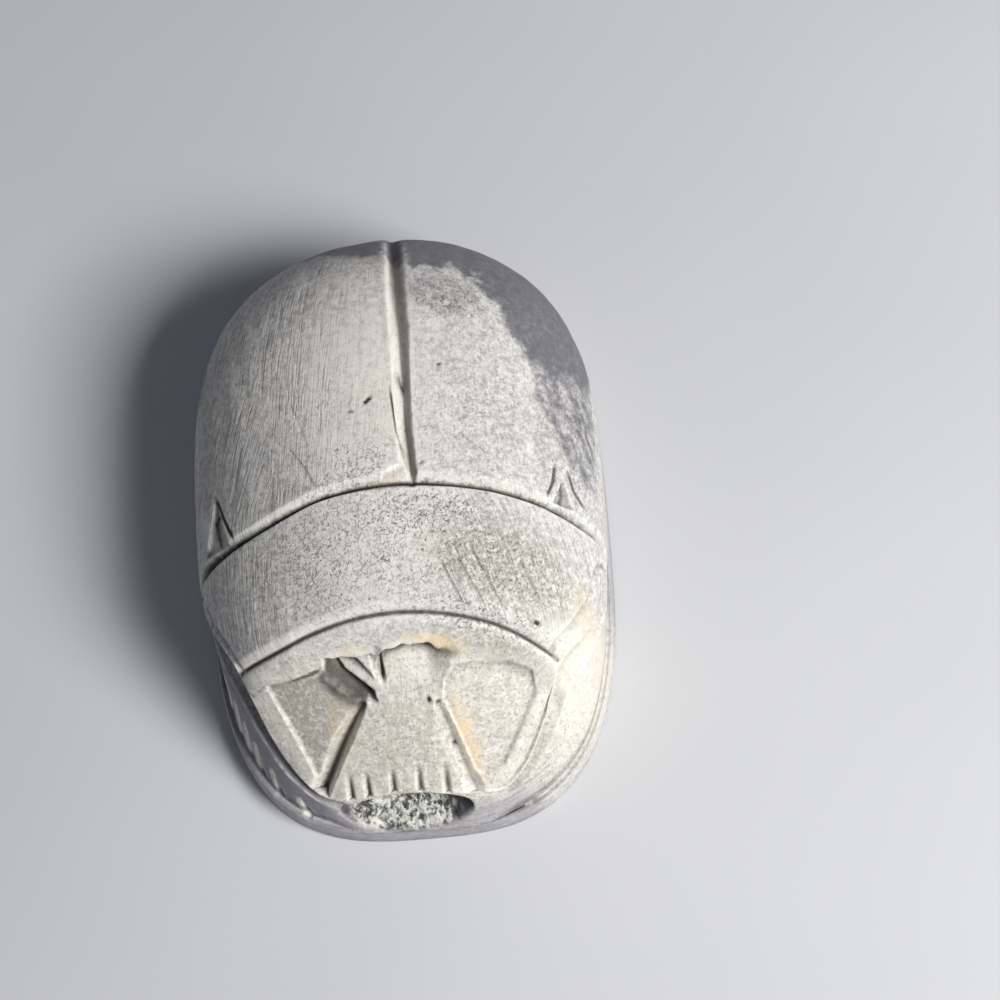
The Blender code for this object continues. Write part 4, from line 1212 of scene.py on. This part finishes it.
    # Grey stains, with painted shade on the rear edge, the rear left and the left foreleg
    clouds = n.noise(body, 0.8, 6, 0.75)
    ragged = n.math("ADD", n.mask("stain_and_shade"), n.times(n.math("SUBTRACT", clouds, 0.5), 1.3))
    ragged = n.times(n.span(ragged, 0.1, 0.9), n.span(n.mask("stain_and_shade"), 0, 0.5))
    stain_and_shade_share = n.times(ragged, n.span(clouds, 0.3, 0.65, 0.82, 0.97))
    colour = n.mix(stain_and_shade_share, colour, (0.135, 0.135, 0.16, 1))
    orange = n.times(n.mask("orange"), n.span(fine, 0.3, 0.6, 0.5, 1))
    colour = n.mix(orange, colour, (0.84, 0.66, 0.43, 1))
    # Purple-grey: painted reflection of a blue ground and painted shade on the left, low and rear parts
    colour = n.mix(n.times(n.mask("cool_reflection_and_shade"), 0.6), colour, (0.32, 0.31, 0.37, 1))
    # Painted shade and dirt in the bottoms of cuts, the suture and the brow
    cavity_shade_and_dirt = n.math("MAXIMUM", n.mask("cavity"), n.mask("dark"))
    colour = n.mix(n.times(cavity_shade_and_dirt, 0.72), colour, (0.13, 0.115, 0.10, 1))
    # Dirt and painted shade in the bottoms of lines and grooves
    colour = n.mix(n.mask("lines_dirt_and_shade"), colour, (0.035, 0.028, 0.022, 1))
    worn = n.times(n.mask("worn"), n.span(n.noise(body, 0.8, 3), 0.35, 0.6))
    colour = n.mix(n.times(worn, 0.75), colour, (0.86, 0.845, 0.80, 1))
    # Mouth hollow: painted shade, darkest at its ends and under its roof, with painted light on the higher
    # chunks
    broken = n.math("ADD", n.times(n.mask("rubble_light_and_shade"), 0.3), n.noise(body, 0.55, 5, 0.75))
    rubble_light_and_shade = n.mix(n.span(broken, 0.53, 0.78), (0.045, 0.045, 0.045, 1), (0.78, 0.78, 0.72, 1))
    rubble_light_and_shade = n.mix(n.mask("hollow_end_shade"), rubble_light_and_shade, (0.06, 0.06, 0.07, 1))
    colour = n.mix(n.times(n.mask("hollow"), 0.95), colour, rubble_light_and_shade)
    n.link(colour, n.shader.inputs["Base Color"])

    # Sheen of handled stone, duller in the painted shade and dirt of the cuts
    roughness = n.span(fine, 0.25, 0.75, 0.48, 0.66)
    roughness = n.math("ADD", roughness, n.times(cavity_shade_and_dirt, 0.2))
    n.link(roughness, n.shader.inputs["Roughness"])
    n.shader.inputs["Specular IOR Level"].default_value = 0.42

    # Fine relief
    height = n.times(mark_height, -0.9)
    height = n.math("SUBTRACT", height, n.times(deep_marks, 0.5))
    height = n.math("ADD", height, n.times(tiny, 0.25))
    height = n.math("SUBTRACT", height, n.times(cracks, 0.6))
    height = n.math("SUBTRACT", height, n.times(specks, 0.5))
    bump = n.add("ShaderNodeBump", {"Strength": 1, "Distance": RELIEF_HEIGHT * MM, "Height": height})
    n.link(bump.outputs["Normal"], n.shader.inputs["Normal"])
    return material


# Floor and light
FLOOR_SIZE = 6
KEY_FROM = Vector((0.265, -0.15, 0.31))
KEY_SIZE = 0.17
KEY_POWER = 2.25
FILL_FROM = Vector((-0.25, -0.30, 0.35))
FILL_SIZE = 0.5
FILL_POWER = 0.08


def floor():
    """A plain pale table top."""
    mesh = bpy.data.meshes.new("floor")
    bm = bmesh.new()
    bmesh.ops.create_grid(bm, x_segments=8, y_segments=8, size=0.5 * FLOOR_SIZE)
    bm.to_mesh(mesh)
    bm.free()
    plane = bpy.data.objects.new("floor", mesh)
    bpy.context.scene.collection.objects.link(plane)
    material = bpy.data.materials.new("pale table")
    material.use_nodes = True
    n = Nodes(material)
    soft = n.span(n.noise(n.body(), 60), 0.3, 0.7)
    n.link(n.mix(soft, (0.60, 0.61, 0.63, 1), (0.63, 0.64, 0.66, 1)), n.shader.inputs["Base Color"])
    n.shader.inputs["Roughness"].default_value = 0.7
    mesh.materials.append(material)


def area_light(name, place, size, power, colour):
    light = bpy.data.lights.new(name, "AREA")
    light.shape = "SQUARE"
    light.size = size
    light.energy = power
    light.color = colour
    lamp = bpy.data.objects.new(name, light)
    lamp.location = place
    lamp.rotation_euler = place.to_track_quat("Z", "Y").to_euler()
    bpy.context.scene.collection.objects.link(lamp)


def world_light():
    world = bpy.data.worlds.new("soft room")
    world.use_nodes = True
    background = world.node_tree.nodes["Background"]
    background.inputs["Color"].default_value = (0.80, 0.86, 1, 1)
    background.inputs["Strength"].default_value = 0.11
    bpy.context.scene.world = world


# The photograph's camera, over the head end, in degrees and millimetres
CAMERA_AZIMUTH = 5
CAMERA_ELEVATION = 72
CAMERA_ROLL = -9.86
CAMERA_DISTANCE = 212.1
CAMERA_SHIFT = (9.69, -0.36)
CAMERA_AIM = Vector((0, 0, 10))
CAMERA_FOCUS = 2.2
SENSOR = 36


def photo_camera():
    azimuth, elevation = math.radians(CAMERA_AZIMUTH), math.radians(CAMERA_ELEVATION)
    roll = math.radians(CAMERA_ROLL)
    level = math.cos(elevation)
    back = Vector((math.sin(azimuth) * level, -math.cos(azimuth) * level, math.sin(elevation)))
    right = (-back).cross(Vector((0, 0, 1))).normalized()
    up = right.cross(-back)
    place = back * CAMERA_DISTANCE + right * CAMERA_SHIFT[0] + up * CAMERA_SHIFT[1] + CAMERA_AIM
    turned_right = right * math.cos(roll) + up * math.sin(roll)
    turned_up = up * math.cos(roll) - right * math.sin(roll)
    matrix = Matrix((turned_right, turned_up, back)).transposed().to_4x4()
    matrix.translation = place * MM
    data = bpy.data.cameras.new("camera")
    data.sensor_width = SENSOR
    data.lens = SENSOR * CAMERA_FOCUS
    data.clip_start = 0.005
    camera = bpy.data.objects.new("camera", data)
    camera.matrix_world = matrix
    bpy.context.scene.collection.objects.link(camera)
    bpy.context.scene.camera = camera


bpy.context.scene.view_settings.view_transform = "Standard"
photo_camera()
piece = stone_piece()
piece.data.materials.clear()
piece.data.materials.append(stone_material())
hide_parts("scarab")
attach(piece, "root")
floor()
area_light("key", KEY_FROM, KEY_SIZE, KEY_POWER, (1, 0.985, 0.96))
area_light("fill", FILL_FROM, FILL_SIZE, FILL_POWER, (0.90, 0.94, 1))
world_light()
